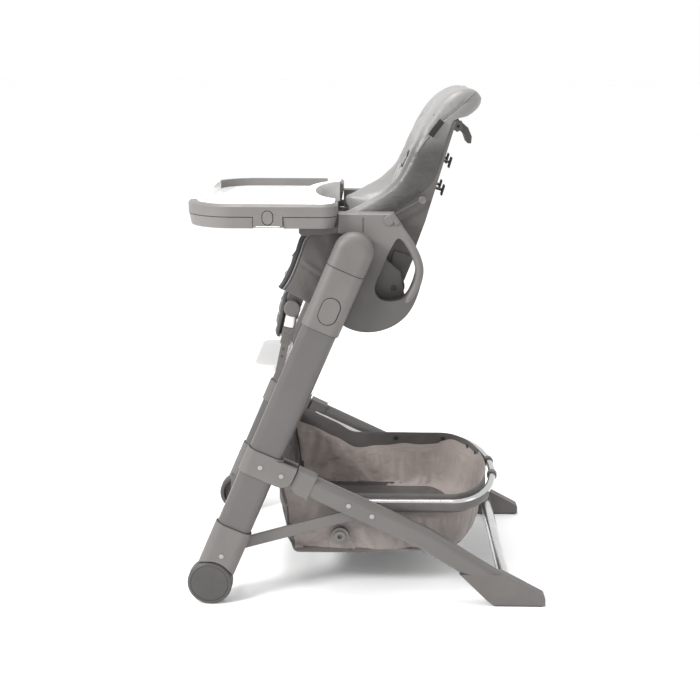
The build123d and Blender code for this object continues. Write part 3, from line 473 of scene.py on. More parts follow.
def push_in(obj, depth):
    """Moves each vertex against its normal by a depth in mm."""
    normals = np.zeros(len(obj.data.vertices) * 3)
    obj.data.vertex_normals.foreach_get("vector", normals)
    normals = normals.reshape(-1, 3)
    for v, n, d in zip(obj.data.vertices, normals, depth):
        v.co = Vector(np.array(v.co) - n * d * MM)


def mm(*p):
    """Vector in metres from millimetres."""
    return Vector(p) * MM


# ---------------- back cushion
# Each station joins a point on the shell (Y, Z) to one on the crest, with half width, start depth and corner.
BACK = [
    (62, 662, 22, 664, 138, 8, 14), (68, 684, 2, 690, 158, 18, 18), (78, 708, -14, 716, 170, 34, 20),
    (90, 735, -35, 749, 175, 58, 20), (100, 760, -50, 780, 176, 60, 20), (108, 778, -54, 800, 176, 60, 20),
    (116, 797, -38, 809, 176, 58, 20), (122, 814, -16, 820, 176, 50, 20), (128, 832, 8, 834, 176, 36, 20),
    (134, 847, 31, 849, 176, 22, 20), (139, 862, 49, 866, 176, 12, 20), (144, 880, 61, 882, 176, 7, 20),
    (148, 897, 70, 899, 176, 6, 20), (152, 914, 78, 915, 176, 6, 20), (156, 930, 86, 933, 176, 6, 19),
    (160, 947, 95, 951, 175, 6, 19), (164, 962, 106, 973, 174, 6, 19), (168, 975, 118, 993, 172, 5, 19),
    (172, 984, 132, 1013, 169, 4, 20), (179, 988, 148, 1029, 166, 3, 21), (186, 990, 168, 1042, 162, 2, 22),
    (194, 992, 188, 1048, 157, 2, 23), (203, 997, 206, 1046, 150, 2, 22), (211, 1003, 218, 1037, 140, 2, 15),
    (217, 1009, 224, 1028, 128, 1, 8), (220, 1014, 223, 1021, 116, 0, 3),
]
BACK_ROWS = 104
REAR_STEPS, EDGE_STEPS, WALL_STEPS, CORNER_STEPS, FRONT_STEPS = 12, 4, 14, 9, 34
WALL = REAR_STEPS + EDGE_STEPS               # where the wing's side wall starts in a profile
CORNER = WALL + WALL_STEPS                   # where its rounded front corner starts
FRONT = CORNER + CORNER_STEPS                # and where the face that the child leans on starts
CHANNEL, CHANNEL_START, PANEL_HALF = 62.0, 40, 98
SEAM = [(95, 925), (111, 949), (124, 962), (143, 987), (159, 999), (178, 1014), (197, 1032), (211, 1041)]


def back_profile(row):
    """Half section of the cushion at one station: (x, depth) from the rear centre to the front centre."""
    ry, rz, cy, cz, half, start, corner = row
    deep = hypot(cy - ry, cz - rz)
    corner = min(corner, deep * 0.48)
    start = min(start, deep - corner - 1)
    head = step((ry - 158) / 20.0)
    low = step((686 - rz) / 22.0)
    flat = min(deep, 66.0 - 5.0 * step((rz - 850) / 60.0))
    flat = flat + (deep - 1.5 - flat) * max(head, low)
    wall = deep - corner - start - 8
    tuck = 9.0 * min(1.0, max(wall, 0) / 50) * (1 - head)
    pts = [((half - tuck) * t, start) for t in np.linspace(0, 0.95, REAR_STEPS)]
    pts += [(half - tuck - 8 + 8 * sin(a), start + 8 - 8 * cos(a))
            for a in np.linspace(0.3, pi / 2, EDGE_STEPS)]
    pts += [(half - tuck * (1 - t) ** 1.7 + 2.0 * sin(pi * t) * min(1, max(wall, 0) / 40),
             start + 8 + max(wall, 0.5) * t) for t in np.linspace(0.08, 0.94, WALL_STEPS)]
    inner = half - corner
    pts += [(inner + corner * cos(a), deep - corner + corner * sin(a))
            for a in np.linspace(0, pi / 2, CORNER_STEPS)]
    for t in np.linspace(0.03, 1, FRONT_STEPS):
        x = inner * (1 - t ** 0.85)
        fall = step((inner - 5 - x) / 46.0)
        bulge = 4.0 * cos(min(1.0, x / 105.0) * pi / 2)
        pts.append((x, deep + (flat - deep) * fall + bulge * fall * (1 - 0.6 * head)))
    return pts


def off_channel(run):
    """Distance in mm from the middle of a sewn channel, for a distance down the cushion's front."""
    return abs((run - CHANNEL_START) % CHANNEL - CHANNEL / 2)


def build_back():
    rows = smooth_line(BACK, BACK_ROWS)
    rings, half_count = [], 0
    for row in rows:
        ry, rz, cy, cz = row[:4]
        e = Vector((0, cy - ry, cz - rz)).normalized()
        prof = back_profile(row)
        half_count = len(prof)
        right = [mm(-x, ry, rz) + e * d * MM for x, d in reversed(prof[1:-1])]
        left = [mm(x, ry, rz) + e * d * MM for x, d in prof]
        rings.append(left + right)
    obj = rings_mesh("back_cushion", rings, back_leather)
    m = len(rings[0])
    grid = np.array([v.co for v in obj.data.vertices]).reshape(len(rows), m, 3)
    travel = np.r_[0, np.cumsum(np.linalg.norm(np.diff(grid[:, half_count - 1], axis=0), axis=1))] / MM
    groove_y, groove_z = zip(*SEAM[:-1], (212, 1045))
    pins, depth = {}, np.zeros(len(rows) * m)
    for idx in range(len(depth)):
        i, j = divmod(idx, m)
        k = j if j < half_count else m - j
        x, y, z = abs(grid[i, j, 0]) / MM, grid[i, j, 1] / MM, grid[i, j, 2] / MM
        across = off_channel(travel[i])
        if k < FRONT:
            pins[idx] = 1.0 if k < WALL else 0.25
        elif (x < 96 and 60 < travel[i] < 372 and across > 29.0) or abs(x - PANEL_HALF) < 2.6:
            pins[idx] = 1.0
        # sewn channels across the centre panel, with a seam beside them
        if k >= FRONT:
            if x < PANEL_HALF and 60 < travel[i] < 372:
                depth[idx] += 3.4 * np.exp(-((CHANNEL / 2 - across) / 3.4) ** 2)
            depth[idx] += 3.6 * np.exp(-((x - PANEL_HALF) / 3.6) ** 2) * float(travel[i] < 385)
        # the seam behind the crest
        if WALL <= k < CORNER and z > 925:
            depth[idx] += 2.6 * np.exp(-((y - np.interp(z, groove_z, groove_y)) / 3.6) ** 2)
        # soft creases that fan out where the wing meets the back
        if WALL <= k < FRONT:
            fan = sin(0.085 * z + 0.05 * y + 1.7 * sin(0.021 * z)) * sin(0.033 * (z - 0.6 * y))
            depth[idx] += 0.9 * fan
    inflate(obj, pins, 2.6, 5 * MM, frames=14, grow=0.012, stiffness=9.0)
    push_in(obj, depth)
    return subdivided(obj)


back = build_back()
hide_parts("back_pad")
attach(back, "backrest")

# piping along the seam behind the crest, laid on the cushion's side
skin = BVHTree.FromPolygons([v.co for v in back.data.vertices],
                            [tuple(f.vertices) for f in back.data.polygons])
for side, sign in SIDES:
    pts = []
    for y, z in smooth_line(SEAM, 40):
        hit = skin.ray_cast(Vector((sign * 0.3, y * MM, z * MM)), Vector((-sign, 0, 0)))[0]
        if hit and abs(hit.x) > 0.13:
            pts.append(hit + Vector((sign * 0.0003, 0, 0)))
    pipe = tube("back_piping_" + side, pts, 1.7 * MM, piping_leather)
    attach(pipe, "backrest")


# ---------------- seat cushion
SEAT = [
    (-169, 645, -176, 650, 160), (-166, 643, -177, 658, 170), (-158, 642, -171, 667, 174),
    (-144, 642, -153, 671, 176), (-120, 637, -125, 668, 176), (-92, 626, -94, 661, 176),
    (-60, 614, -61, 652, 176), (-30, 609, -30, 647, 176), (0, 606, 3, 646, 174), (14, 608, 20, 642, 168),
    (22, 614, 27, 634, 156),
]
SEAT_CORNER, SEAT_TOP = 20, 28               # where its rounded corner and its top start in a profile
SEAT_CHANNEL, SEAT_PANEL = 46.0, 106         # spacing of its sewn channels and half width of their panel


def build_seat():
    rows = smooth_line(SEAT, 52)
    rings = []
    for by, bz, ty, tz, half in rows:
        low, high = Vector((0, by, bz)), Vector((0, ty, tz))
        thick = (high - low).length
        e = (high - low).normalized()
        r = min(15.0, thick * 0.48)
        prof = [(half * t, 0) for t in np.linspace(0, 0.93, 12)]
        prof += [(half - r + r * sin(a), r - r * cos(a)) for a in np.linspace(0.25, pi / 2, 6)]
        prof += [(half, r + (thick - 2 * r) * t) for t in (0.33, 0.66)]
        prof += [(half - r + r * cos(a), thick - r + r * sin(a)) for a in np.linspace(0, pi / 2, 8)]
        for t in np.linspace(0.04, 1, 30):
            x = (half - r) * (1 - t)
            roll = 7.0 * np.exp(-((x - 142) / 17.0) ** 2)
            prof.append((x, thick + roll + 4.0 * cos(min(1.0, x / 110.0) * pi / 2)))
        left = [Vector((x, 0, 0)) + low + e * d for x, d in prof]
        right = [Vector((-x, 0, 0)) + low + e * d for x, d in reversed(prof[1:-1])]
        rings.append([p * MM for p in left + right])
    obj = rings_mesh("seat_cushion", rings, pale_leather)
    m, n = len(rings[0]), len(rows)
    grid = np.array([v.co for v in obj.data.vertices]).reshape(n, m, 3)
    run = np.r_[0, np.cumsum(np.linalg.norm(np.diff(grid[:, SEAT_TOP], axis=0), axis=1))] / MM
    half_count = len(prof)
    pins, depth = {}, np.zeros(n * m)
    for i in range(n):
        for j in range(m):
            k = j if j < half_count else m - j
            x = abs(grid[i, j, 0]) / MM
            idx = i * m + j
            across = abs((run[i] - 20) % SEAT_CHANNEL - SEAT_CHANNEL / 2)
            channelled = 30 < run[i] < 185
            if k < SEAT_CORNER:
                pins[idx] = 1.0
            elif k > SEAT_TOP:
                if (x < 104 and channelled and across > 21.0) or abs(x - SEAT_PANEL) < 3:
                    pins[idx] = 1.0
                if x < SEAT_PANEL and channelled:
                    depth[idx] += 3.2 * np.exp(-((SEAT_CHANNEL / 2 - across) / 3.4) ** 2)
                depth[idx] += 3.4 * np.exp(-((x - SEAT_PANEL) / 3.6) ** 2)
    inflate(obj, pins, 2.4, 5 * MM, frames=14, grow=0.012, stiffness=9.0)
    push_in(obj, depth)
    return subdivided(obj)


seat = build_seat()
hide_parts("seat_pad")
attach(seat, "seat")

# side covers: a padded flap over each side of the seat shell, with piping down its front edge
FLAP = [(-98, 771), (-121, 758), (-134, 724), (-147, 690), (-158, 668), (-169, 652)]
FLAP_BACK = [(-46, 771), (-50, 757), (-60, 724), (-72, 690), (-86, 645), (-94, 612)]


def build_side_cover(side, sign):
    """Flap with a raised crease across it, its back, its folded front edge and a strip of lining."""
    front = smooth_line(FLAP, 34)
    rear = smooth_line(FLAP_BACK, 34)
    rings = []
    for f, r in zip(front, rear):
        across = []
        for t in np.linspace(0, 1, 26):
            p = np.array(f) * (1 - t) + np.array(r) * t
            puff = 2.6 * (sin(pi * min(1, t * 1.02)) ** 0.4) if 0 < t < 1 else 0
            crease = (p[1] - 707) + 0.70 * (p[0] + 128)
            ends = min(1, t * 5)
            puff += 3.2 * np.exp(-((crease - 2.5) / 3.6) ** 2) * ends
            puff -= 2.6 * np.exp(-((crease + 5.5) / 2.6) ** 2) * ends
            puff += 0.5 * sin(0.14 * p[0] + 0.09 * p[1]) * sin(pi * t)
            across.append(Vector((sign * (196.2 + max(0.2, puff + 1.0)), p[0], p[1])) * MM)
        back_line = [Vector((sign * 195.7, p.y / MM, p.z / MM)) * MM for p in reversed(across)]
        edge = Vector((sign * 197.0, f[0] - 2.4, f[1] + 0.6)) * MM
        lining = Vector((sign * 182.0, f[0] - 2.2, f[1] + 0.6)) * MM
        rings.append([edge] + across + back_line + [lining])
    return rings_mesh("seat_side_cover_" + side, rings, side_leather)


for side, sign in SIDES:
    flap = build_side_cover(side, sign)
    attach(flap, "seat")
    pts = [mm(sign * 198.2, y - 2.2, z + 0.5) for y, z in FLAP]
    pipe = tube("seat_piping_" + side, pts, 1.9 * MM, piping_leather, count=40)
    # a black band behind the flap's front edge, painted shade of the pad's inner side
    pts = [mm(sign * 191, y - 7.5, z + 2.5) for y, z in FLAP]
    edge_shade_band = tube("seat_edge_band_" + side, pts, 5.5 * MM, black_plastic, count=40)
    for piece in (pipe, edge_shade_band):
        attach(piece, "seat")


# ---------------- calf cushion and front lip
CALF_S, CALF_C = sin(radians(11.9)), cos(radians(11.9))
CALF_SIDES, CALF_CHANNEL = 96, 26.0          # points round it, and the spacing of its sewn channels


def down_calf(along, behind=0.0):
    return (-155 - along * CALF_S + behind * CALF_C, 608 - along * CALF_C - behind * CALF_S)


def build_calf():
    rings = []
    along = np.linspace(-22, 80, 40)
    for a in along:
        end = min(1.0, min(a + 22.6, 80.6 - a) / 12.0)
        t = sqrt(max(0.0, 1 - (1 - end) ** 2)) if end < 1 else 1.0
        front, back_d = -13.4 - 16.6 * max(t, 0.12), -13.4
        half = 112 + 4 * t
        ring = []
        for q in circle(CALF_SIDES):
            cx, cy = cos(q), sin(q)
            x = half * np.sign(cx) * abs(cx) ** 0.32
            d = (front + back_d) / 2 - (back_d - front) / 2 * np.sign(cy) * abs(cy) ** 0.5
            y, z = down_calf(a, d)
            ring.append(mm(x, y, z))
        rings.append(ring)
    obj = rings_mesh("calf_cushion", rings, calf_leather)
    depth, pins = np.zeros(len(obj.data.vertices)), {}
    for idx in range(len(depth)):
        i, j = divmod(idx, CALF_SIDES)
        across = abs((along[i] - 4) % CALF_CHANNEL - CALF_CHANNEL / 2)
        facing = 2 < j < 46
        channelled = -10 < along[i] < 66
        if not facing or (channelled and across > 11.4):
            pins[idx] = 1.0
        if facing and channelled:
            depth[idx] = 2.6 * np.exp(-((CALF_CHANNEL / 2 - across) / 2.4) ** 2)
    inflate(obj, pins, 2.2, 4 * MM, frames=12, grow=0.01, stiffness=9.0)
    push_in(obj, depth)
    return subdivided(obj)


calf = build_calf()
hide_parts("calf_pad")
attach(calf, "calf_rest")


def boxed_sleeve(name, along, behind, across, material, ease=1.2):
    """Rounded rectangular sleeve round a footrest arm; along, behind and across are (low, high) in mm."""
    rings = []
    for a, shrink in ((along[0], ease), (along[0] + ease, 0), (along[1] - ease, 0), (along[1], ease)):
        mid_x, half_x = sum(across) / 2, (across[1] - across[0]) / 2 - shrink
        mid_b, half_b = sum(behind) / 2, (behind[1] - behind[0]) / 2 - shrink
        ring = []
        for q in circle(32):
            dx = half_x * np.sign(cos(q)) * abs(cos(q)) ** 0.3
            db = half_b * np.sign(sin(q)) * abs(sin(q)) ** 0.3
            ring.append(mm(mid_x + dx, *down_calf(a, mid_b + db)))
        rings.append(ring)
    return rings_mesh(name, rings, material)


for side, sign in SIDES:
    across = sorted((sign * 121.6, sign * 134.4))
    cover = boxed_sleeve("footrest_arm_cover_" + side, (25, 49), (-10.6, 8.6), across, plate_plastic)
    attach(cover, "calf_rest")
    wide = sorted((sign * 119.9, sign * 136.1))
    for i in range(8):
        at = 52.0 + 4.2 * i
        rib = boxed_sleeve("footrest_rib_%s_%d" % (side, i + 1), (at, at + 2.4), (-11.8, 9.8), wide,
                           grey_plastic, 0.7)
        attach(rib, "footrest")


# ---------------- harness
def strap(name, pts, normals, width, body, cad):
    """Webbing along points in mm, in the place of a CAD node or of none."""
    band = ribbon(name, [np.array(p) * MM for p in pts], normals, width * MM, 1.8 * MM, webbing)
    if cad:
        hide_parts(cad)
    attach(band, body)


def shoulder_cover(side, sign):
    """Padded sleeve round a shoulder strap."""
    line = smooth_line([(72, 886), (62, 860), (52, 830), (43, 802)], 14)
    rings = []
    for t, (y, z) in zip(np.linspace(0, 1, 14), line):
        end = abs(t - 0.5) * 2
        w = 19 * (1 - 0.35 * end ** 4)
        rings.append([mm(sign * 49 + w * np.sign(cos(q)) * abs(cos(q)) ** 0.5,
                         y - 3.0 - 5.0 * sin(q) * (1 - end ** 6 * 0.7), z + 1.5 * sin(q))
                      for q in circle(20)])
    return subdivided(rings_mesh("shoulder_cover_" + side, rings, pale_leather))


for side, sign in SIDES:
    pts = [(sign * 50, 92, 903), (sign * 50, 80, 897), (sign * 50, 68, 872), (sign * 49, 54, 830),
           (sign * 48, 40, 785), (sign * 46, 26, 742)]
    nrm = [(0, -0.6, 0.8), (0, -0.8, 0.6), (0, -0.95, 0.3), (0, -0.95, 0.3), (0, -0.95, 0.3), (0, -0.95, 0.3)]
    cad = ("shoulder_straps", "waist_straps") if side == "left" else (None, None)
    strap("shoulder_strap_" + side, pts, nrm, 26, "backrest", cad[0])
    cover = shoulder_cover(side, sign)
    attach(cover, "backrest")
    oval = [mm(sign * 50 + 19 * cos(q), 83 + 1.5 * sin(q), 905 + 6 * sin(q))
            for q in np.linspace(0, 2 * pi, 16)]
    slot_ring = tube("strap_slot_" + side, oval, 2.0 * MM, black_plastic)
    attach(slot_ring, "backrest")
    pts = [(sign * 24, -56, 683), (sign * 60, -44, 676), (sign * 110, -18, 664), (sign * 150, 8, 656)]
    nrm = [(0, -0.9, 0.45), (0, -0.8, 0.6), (0, -0.6, 0.8), (0, -0.5, 0.85)]
    strap("waist_strap_" + side, pts, nrm, 24, "seat", cad[1])
strap("crotch_strap_web", [(0, -62, 656), (0, -61, 664), (0, -59.5, 676)],
      [(0, -1, 0.1), (0, -1, 0.1), (0, -1, 0.1)], 28, "seat", "crotch_strap")


# ---------------- basket
def leg_height(y):
    """Height of the hoop's sloping arm over a given Y."""
    return 283.9 - (y + 173.2) * 0.4716


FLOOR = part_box("basket_tub")[0][2] / MM      # underside of the basket
BASE = (203, -157, 150, 84)                  # half width, front, straight part and rear bulge at the bottom
RIM = (209.5, -197, 172, 92)                 # the same at the rim
RIM_LEVEL = 221.0


def basket_rim(y):
    """Height of the rim of the basket: along the arm in front, level behind."""
    sloped = leg_height(y) + 6.0
    t = step((y + 75.0) / 60.0)
    return max(RIM_LEVEL, sloped) * (1 - t) + RIM_LEVEL * t if sloped > RIM_LEVEL else RIM_LEVEL


def basket_plan(u, half, front, straight, bulge, corner=10.0):
    """Point on the basket's plan for u from 0 to 1 round the tub, from the front centre by the left side."""
    length_front, length_side = half, straight - front
    arc = pi / 2 * sqrt((half ** 2 + bulge ** 2) / 2)
    total = length_front + length_side + arc
    v = (u if u <= 0.5 else 1 - u) * 2 * total
    sign = 1 if u <= 0.5 else -1
    if v <= length_front:
        x, y = v, front
    elif v <= length_front + length_side:
        x, y = half, front + v - length_front
    else:
        a = (v - length_front - length_side) / arc * pi / 2
        x, y = half * cos(a), straight + bulge * sin(a)
    if y < front + corner and x > half - corner:      # rounds the front corners
        cx, cy = half - corner, front + corner
        a = atan2(cy - y, x - cx)
        x, y = cx + corner * cos(a), cy - corner * sin(a)
    return sign * x, y


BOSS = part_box("basket_bosses")
BOSS_Y, BOSS_Z = [(BOSS[0][i] + BOSS[1][i]) / 2 / MM for i in (1, 2)]


def build_basket():
    around, up = 260, 36
    rings = []
    for i in range(up + 1):
        t = i / up
        ring = []
        for j in range(around):
            u = j / around
            xb, yb = basket_plan(u, *BASE)
            xt, yt = basket_plan(u, *RIM)
            top = basket_rim(yt)
            height = FLOOR + 1.0 + (top - FLOOR - 1.0) * t
            rear = step((yb + 20.0) / 150.0)
            r = 12.0 + 34.0 * rear                     # the bottom edge is rounder behind
            low = max(0.0, 1.0 - (height - FLOOR) / r)
            tuck = r * 0.8 * (1.0 - sqrt(1.0 - low ** 2))
            sag = 5.0 * sin(pi * t) * (0.6 + 0.4 * sin(7 * pi * u))
            x = xb + (xt - xb) * t
            y = yb + (yt - yb) * t
            inward = Vector((x, y - 20)).normalized() * (sag * (1.0 if t < 0.5 else 0.5) + tuck)
            ring.append(mm(x - inward.x, y - inward.y, height))
        rings.append(ring)
    obj = rings_mesh("basket_bag", rings, basket_cloth, caps=False)
    pins = {}
    for i in range(up + 1):
        for j in range(around):
            t = i / up
            x, y, z = (v / MM for v in rings[i][j])
            near_boss = abs(x) > 120 and (y - BOSS_Y) ** 2 + (z - BOSS_Z) ** 2 < 34 ** 2
            if t < 0.06 or z > basket_rim(y) - 46 or near_boss:
                pins[i * around + j] = 1.0
    inflate(obj, pins, 0.0, 10 * MM, frames=24, grow=0.05, stiffness=6.0, gravity=0.4)
    # outside and lining of the walls, the lining a lighter copy of the cloth as painted light; of the front,
    # darkened as painted shade; and of the darker strip at the foot
    for material in (lining_cloth, front_cloth, front_cloth, front_cloth, lining_cloth):
        obj.data.materials.append(material)
    for face in obj.data.polygons:
        y, z = face.center.y / MM, face.center.z / MM
        front = BASE[1] + (RIM[1] - BASE[1]) * (z - FLOOR) / (basket_rim(RIM[1]) - FLOOR)
        face.material_index = 2 if y < front + 9 else 4 if z < FLOOR + 14 else 0
    solid = obj.modifiers.new("thickness", "SOLIDIFY")
    solid.material_offset = 1
    solid.thickness, solid.offset = 0.9 * MM, 0
    return subdivided(obj)


bag = build_basket()
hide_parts("basket_tub")
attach(bag, "rear_frame")


def rim_point(u):
    """Point on the basket's rim in mm, with the outward direction."""
    x, y = basket_plan(u % 1.0, *RIM)
    x2, y2 = basket_plan((u + 0.002) % 1.0, *RIM)
    along = Vector((x2 - x, y2 - y, 0)).normalized()
    outward = Vector((along.y, -along.x, 0))
    if outward.dot(Vector((x, y - 20, 0))) < 0:
        outward.negate()
    return Vector((x, y, basket_rim(y))), outward


HEM = 39.0                                   # height of the hem band below the rim
HEM_END = 0.4632                             # where it stops behind, as a share of the way round
HEM_SECTION = [(1.7, -HEM), (2.1, -HEM * 0.6), (2.2, -HEM * 0.3), (2.0, -4), (1.2, 1.4), (-0.6, 2.6),
               (-2.2, 1.4), (-2.9, -4), (-3.1, -HEM * 0.4), (-2.7, -HEM * 0.8), (-2.3, -HEM),
               (-0.4, -HEM - 1.0)]


def build_hem():
    """Hem band inside the rim, open behind."""
    rings = []
    for u in np.linspace(-0.463, 0.463, 250):
        p, outward = rim_point(u)
        wob = 0.7 * sin(61 * u) + 0.5 * sin(143 * u)
        end = min(1.0, (HEM_END - abs(u)) / 0.004 + 0.35)
        rings.append([(p + outward * (o * end + wob / 4) + Vector((0, 0, h + (wob if h < -20 else 0)))) * MM
                      for o, h in HEM_SECTION])
    return subdivided(rings_mesh("basket_hem", rings, hem_cloth))


def build_foot_band():
    """Binding round the basket's lower edge."""
    rings = []
    for u in np.linspace(0, 1, 240, endpoint=False):
        _, ya = basket_plan(u, *BASE)
        tuck = 9.0 + 24.0 * step((ya + 20.0) / 150.0)
        section = [(1.2, 14.0), (-tuck * 0.34, 6.0), (-tuck * 0.75, 1.0), (-tuck - 12, -0.2),
                   (-tuck - 12, 0.8), (-tuck * 0.8, 2.0), (-tuck * 0.38, 6.5), (-1.0, 14.0)]
        ring = []
        for grow, z in section:
            x, y = basket_plan(u, BASE[0] + grow, BASE[1] - grow, BASE[2], BASE[3] + grow)
            ring.append(mm(x, y, FLOOR + max(z, 0.2)))
        rings.append(ring)
    return subdivided(rings_mesh("basket_foot_band", rings + [rings[0]], hem_cloth, caps=False))


# the floor pad from its underside round the edge, over a sewn line, to the middle of its top: (inset, height)
PAD_SECTION = [(150, 3.6), (60, 3.6), (8, 3.6), (3, 3.8), (0.6, 4.6), (0, 6.0), (0.8, 7.6), (3, 8.7),
               (6, 9.0), (9, 8.5), (12, 8.9), (18, 9.1), (40, 9.3), (80, 9.6), (120, 9.8), (150, 9.9)]


def build_floor_pad():
    rings = []
    for k, z in PAD_SECTION:
        ring = []
        for u in np.linspace(0, 1, 160, endpoint=False):
            x, y = basket_plan(u, max(4, 191 - k), min(-10, -146 + k), max(20, 140 - k * 0.8),
                               max(3, 66 - k * 0.4), 22)
            lift = 0.5 * sin(0.06 * x) * sin(0.05 * y) if z > 8 else 0
            ring.append(mm(x, y, FLOOR + z + lift))
        rings.append(ring)
    return rings_mesh("basket_floor_pad", rings, board_cloth)


hem = build_hem()
foot_band = build_foot_band()
board = build_floor_pad()
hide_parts("basket_board")


def lathe(name, profile, at, axis, material, sides=28):
    """Turned piece: profile of (radius, height) in mm about an axis through a point."""
    axis = Vector(axis).normalized()
    a = axis.orthogonal().normalized()
    b = axis.cross(a)
    rings = [[(Vector(at) + axis * h + (a * cos(q) + b * sin(q)) * max(r, 0.02)) * MM
              for q in circle(sides)] for r, h in profile]
    return rings_mesh(name, rings, material)


SNAP = [(0.1, 0), (5.2, 0), (5.6, 0.5), (5.2, 1.4), (3.6, 1.7), (3.2, 1.3), (2.4, 1.3), (2.1, 2.3),
        (0.1, 2.6)]
snaps = []
for side, sign in SIDES:
    for i, u in enumerate((0.284, 0.357, 0.425, 0.452)):
        p, outward = rim_point(u)
        if sign < 0:
            p.x, outward = -p.x, Vector((-outward.x, outward.y, 0))
        at = p - outward * 2.6 + Vector((0, 0, -12))
        snap = lathe("basket_snap_%s_%d" % (side, i + 1), SNAP, at, -outward, black_plastic)
        snaps.append(snap)
for piece, finish_slot in [(hem, "basket_cloth"), (foot_band, "basket_cloth"), (board, "basket_board")] + [
        (s, "dark_plastic") for s in snaps]:
    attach(piece, "rear_frame")
for piece in [bag, hem, foot_band, board] + snaps:
    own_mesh(piece)


# ---------------- small details
for side, sign in SIDES:
    belt = ribbon("elastic_loop_" + side, [mm(sign * 178.6, 46, 797), mm(sign * 179.4, 62, 807),
                                           mm(sign * 179.2, 84, 819), mm(sign * 176.5, 105, 830)],
                  [(sign, 0, 0), (sign, 0, 0), (sign, 0, 0), (sign, 0.1, 0)], 6 * MM, 1.6 * MM, webbing)
    button = lathe("elastic_button_" + side,
                   [(0.1, 0), (7.4, 0), (8.2, 1.2), (7.8, 3.2), (6.2, 4.2), (5.4, 3.6), (0.1, 3.6)],
                   (sign * 175.6, 107, 831), (sign, 0, 0), cap_plastic)
    for piece in (belt, button):
        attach(piece, "backrest")
    pts = [mm(sign * 265.2, y, 789.2) for y in (-217, -205, -190, -178, -170)]
    strip = tube("tray_guide_strip_" + side, pts, 1.5 * MM, white_plastic, sides=12)
    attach(strip, "tray")

    pts = [mm(sign * 229.5, y, z) for y, z in ((41, 808), (46, 806), (53, 797), (57, 790))]
    rod = tube("arm_end_rod_" + side, pts, 6.2 * MM, grey_plastic, sides=20, count=24)
    # a thin dark strip on the arm, painted shade of a groove
    seam = ribbon("arm_seam_" + side, [mm(sign * 232.2, -10.5, z) for z in (803, 796, 784, 776)],
                  [(sign, 0, 0)] * 4, 3.4 * MM, 0.8 * MM, dark_plastic)
    for piece in (rod, seam):
        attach(piece, "seat")


# thin dark rings round the posts, where the sliding sleeves and the end pieces meet them: painted shade of
# the gaps there
LEAN = radians(23.2)                         # lean of the front posts
POST_X, SLEEVE_DEPTH, SLEEVE_WIDTH = 257.25, 39.5, 20.25      # middle and half sizes of a sleeve's outline
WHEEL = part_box("wheel_left")
WHEEL_Y, WHEEL_Z = [(WHEEL[0][i] + WHEEL[1][i]) / 2 / MM for i in (1, 2)]


def post_shade_ring(name, along, sign, inset, radius, body):
    """Dark ring along the post from the wheel centre, inset from the sleeve's face: painted shade of a gap.
    """
    half_depth, half_width = SLEEVE_DEPTH - inset, SLEEVE_WIDTH - inset
    axis = Vector((0, sin(LEAN), cos(LEAN)))
    square = Vector((0, cos(LEAN), -sin(LEAN)))
    centre = Vector((sign * POST_X, WHEEL_Y, WHEEL_Z)) + axis * along
    rings = []
    for q in circle(72):
        flat = (half_depth - half_width) * np.sign(sin(q)) * min(1.0, abs(sin(q)) * 6)
        out = Vector((sign * half_width * cos(q), 0, 0)) + square * (flat + half_width * sin(q))
        p = centre + out
        out.normalize()
        rings.append([(p + (out * cos(a) + axis * sin(a)) * radius) * MM for a in circle(8)])
    ring = rings_mesh(name, rings + [rings[0]], rubber, caps=False)
    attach(ring, body)


GRIP = [(216, 54, 782), (223, 68, 768), (226.5, 85, 745), (226.5, 97, 720), (226.5, 101.5, 697),
        (226.5, 97, 672), (226.5, 87, 650), (223, 74, 633), (215, 56, 619)]
for side, sign in SIDES:
    # painted shade: a dark ring at each gap along the post
    post_shade_ring("cap_seal_" + side, 713.9, sign, 0.75, 0.9, "front_frame")
    post_shade_ring("carriage_wiper_" + side, 585.4, sign, 2.4, 1.5, "seat")
    post_shade_ring("collar_wiper_top_" + side, 306.6, sign, 2.6, 1.3, "collars")
    post_shade_ring("collar_wiper_low_" + side, 253.4, sign, 2.6, 1.3, "collars")
    post_shade_ring("boot_seal_" + side, 130.6, sign, 2.6, 1.3, "front_frame")
    pts = [mm(sign * x, y, z) for x, y, z in GRIP]
    grip = tube("loop_grip_" + side, pts, 8.4 * MM, grey_plastic, sides=24, count=70)
    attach(grip, "seat")


# the hem's outer flap, sewn over the outside of the hoop
HOOP_X, HOOP_Y, HOOP_Z, HOOP_BULGE = 220.0, 178.0, 208.0, 100.0     # the rear half ellipse of its centre line
for side, sign in SIDES:
    path = [(HOOP_X, y, 1.0, 0.0) for y in np.linspace(28, 176, 38)]
    for a in np.linspace(0, radians(48), 22):
        nx, ny = cos(a) / HOOP_X, sin(a) / HOOP_BULGE
        path.append((HOOP_X * cos(a), HOOP_Y + HOOP_BULGE * sin(a), nx / hypot(nx, ny), ny / hypot(nx, ny)))
    flap_rings = []
    for k, (x, y, nx, ny) in enumerate(path):
        wob = 0.4 * sin(0.9 * k) + 0.3 * sin(2.3 * k)
        section = [(8.3, 3.4), (8.9, 2.6), (9.8, -2.5), (9.2 + wob, -9), (6.8 + wob, -15), (5.9 + wob, -15),
                   (8.0 + wob, -9), (8.7, -2.5)]
        flap_rings.append([mm(sign * (x + nx * q), y + ny * q, HOOP_Z + h) for q, h in section])
    flap = subdivided(rings_mesh("hoop_flap_" + side, flap_rings, hem_cloth))
    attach(flap, "rear_frame")

TAG = [(177.6, 143, 987), (180.4, 134, 975.5), (181.0, 128, 968), (179.6, 121, 957.5)]
tag = ribbon("blank_tag", [mm(*p) for p in TAG], [(1, 0.1, 0)] * 4, 12 * MM, 1.4 * MM, tag_cloth)
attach(tag, "backrest")


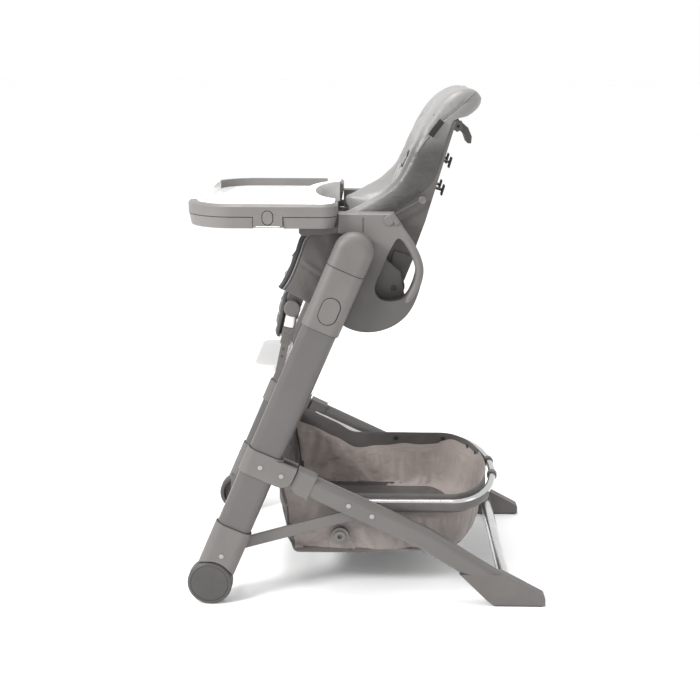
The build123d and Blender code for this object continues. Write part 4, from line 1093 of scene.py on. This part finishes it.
# ---------------- studio
def studio_material(name, colour, rough):
    s = Shader(name, colour, rough, specular=0.2)
    s.tint(s.noise(2.0, 2.0), 0.999, 1.001)
    return s.mat


def add_floor():
    bm = bmesh.new()
    bmesh.ops.create_grid(bm, x_segments=2, y_segments=2, size=60.0)
    mesh = bpy.data.meshes.new("floor")
    bm.to_mesh(mesh)
    bm.free()
    mesh.materials.append(studio_material("floor_paint", (0.997, 0.997, 0.997), 0.9))
    floor = bpy.data.objects.new("floor", mesh)
    bpy.context.scene.collection.objects.link(floor)
    floor.location.z = -0.0004
    return floor


add_floor()

world = bpy.data.worlds.new("studio")
bpy.context.scene.world = world
world.use_nodes = True
sky = world.node_tree.nodes["Background"]
sky.inputs["Color"].default_value = (1.0, 1.0, 1.0, 1.0)
sky.inputs["Strength"].default_value = 1.0


def area_light(name, place, target, size, power):
    data = bpy.data.lights.new(name, "AREA")
    data.shape, data.size, data.energy = "DISK", size, power
    light = bpy.data.objects.new(name, data)
    light.location = place
    light.rotation_euler = (Vector(target) - Vector(place)).to_track_quat("-Z", "Y").to_euler()
    bpy.context.scene.collection.objects.link(light)


area_light("key", (2.3, -2.9, 2.7), (0, 0, 0.55), 1.1, 150)
area_light("overhead", (0.2, -0.4, 3.4), (0, 0, 0.5), 1.6, 60)
area_light("rear_rim", (0.4, 2.8, 1.9), (0, 0.1, 0.7), 1.4, 8)


def add_camera(place, lens, yaw, pitch, roll):
    """Camera on the near side that looks towards -X, turned by yaw, pitch and roll in radians."""
    data = bpy.data.cameras.new("camera")
    data.lens, data.sensor_width = lens, 36
    camera = bpy.data.objects.new("camera", data)
    bpy.context.scene.collection.objects.link(camera)
    ahead = Vector((-cos(yaw) * cos(pitch), -sin(yaw) * cos(pitch), -sin(pitch)))
    right = Vector((-sin(yaw), cos(yaw), 0))
    up = right.cross(ahead)
    right, up = right * cos(roll) + up * sin(roll), up * cos(roll) - right * sin(roll)
    turn = Matrix((right, up, -ahead)).transposed()
    camera.matrix_world = Matrix.Translation(place) @ turn.to_4x4()
    return camera


scene = bpy.context.scene
scene.camera = add_camera((2.5301, 0.0178, 1.1067), 60.7166, radians(1.323), radians(13.92), 0.0017)
scene.view_settings.view_transform = "Standard"
scene.view_settings.look = "None"
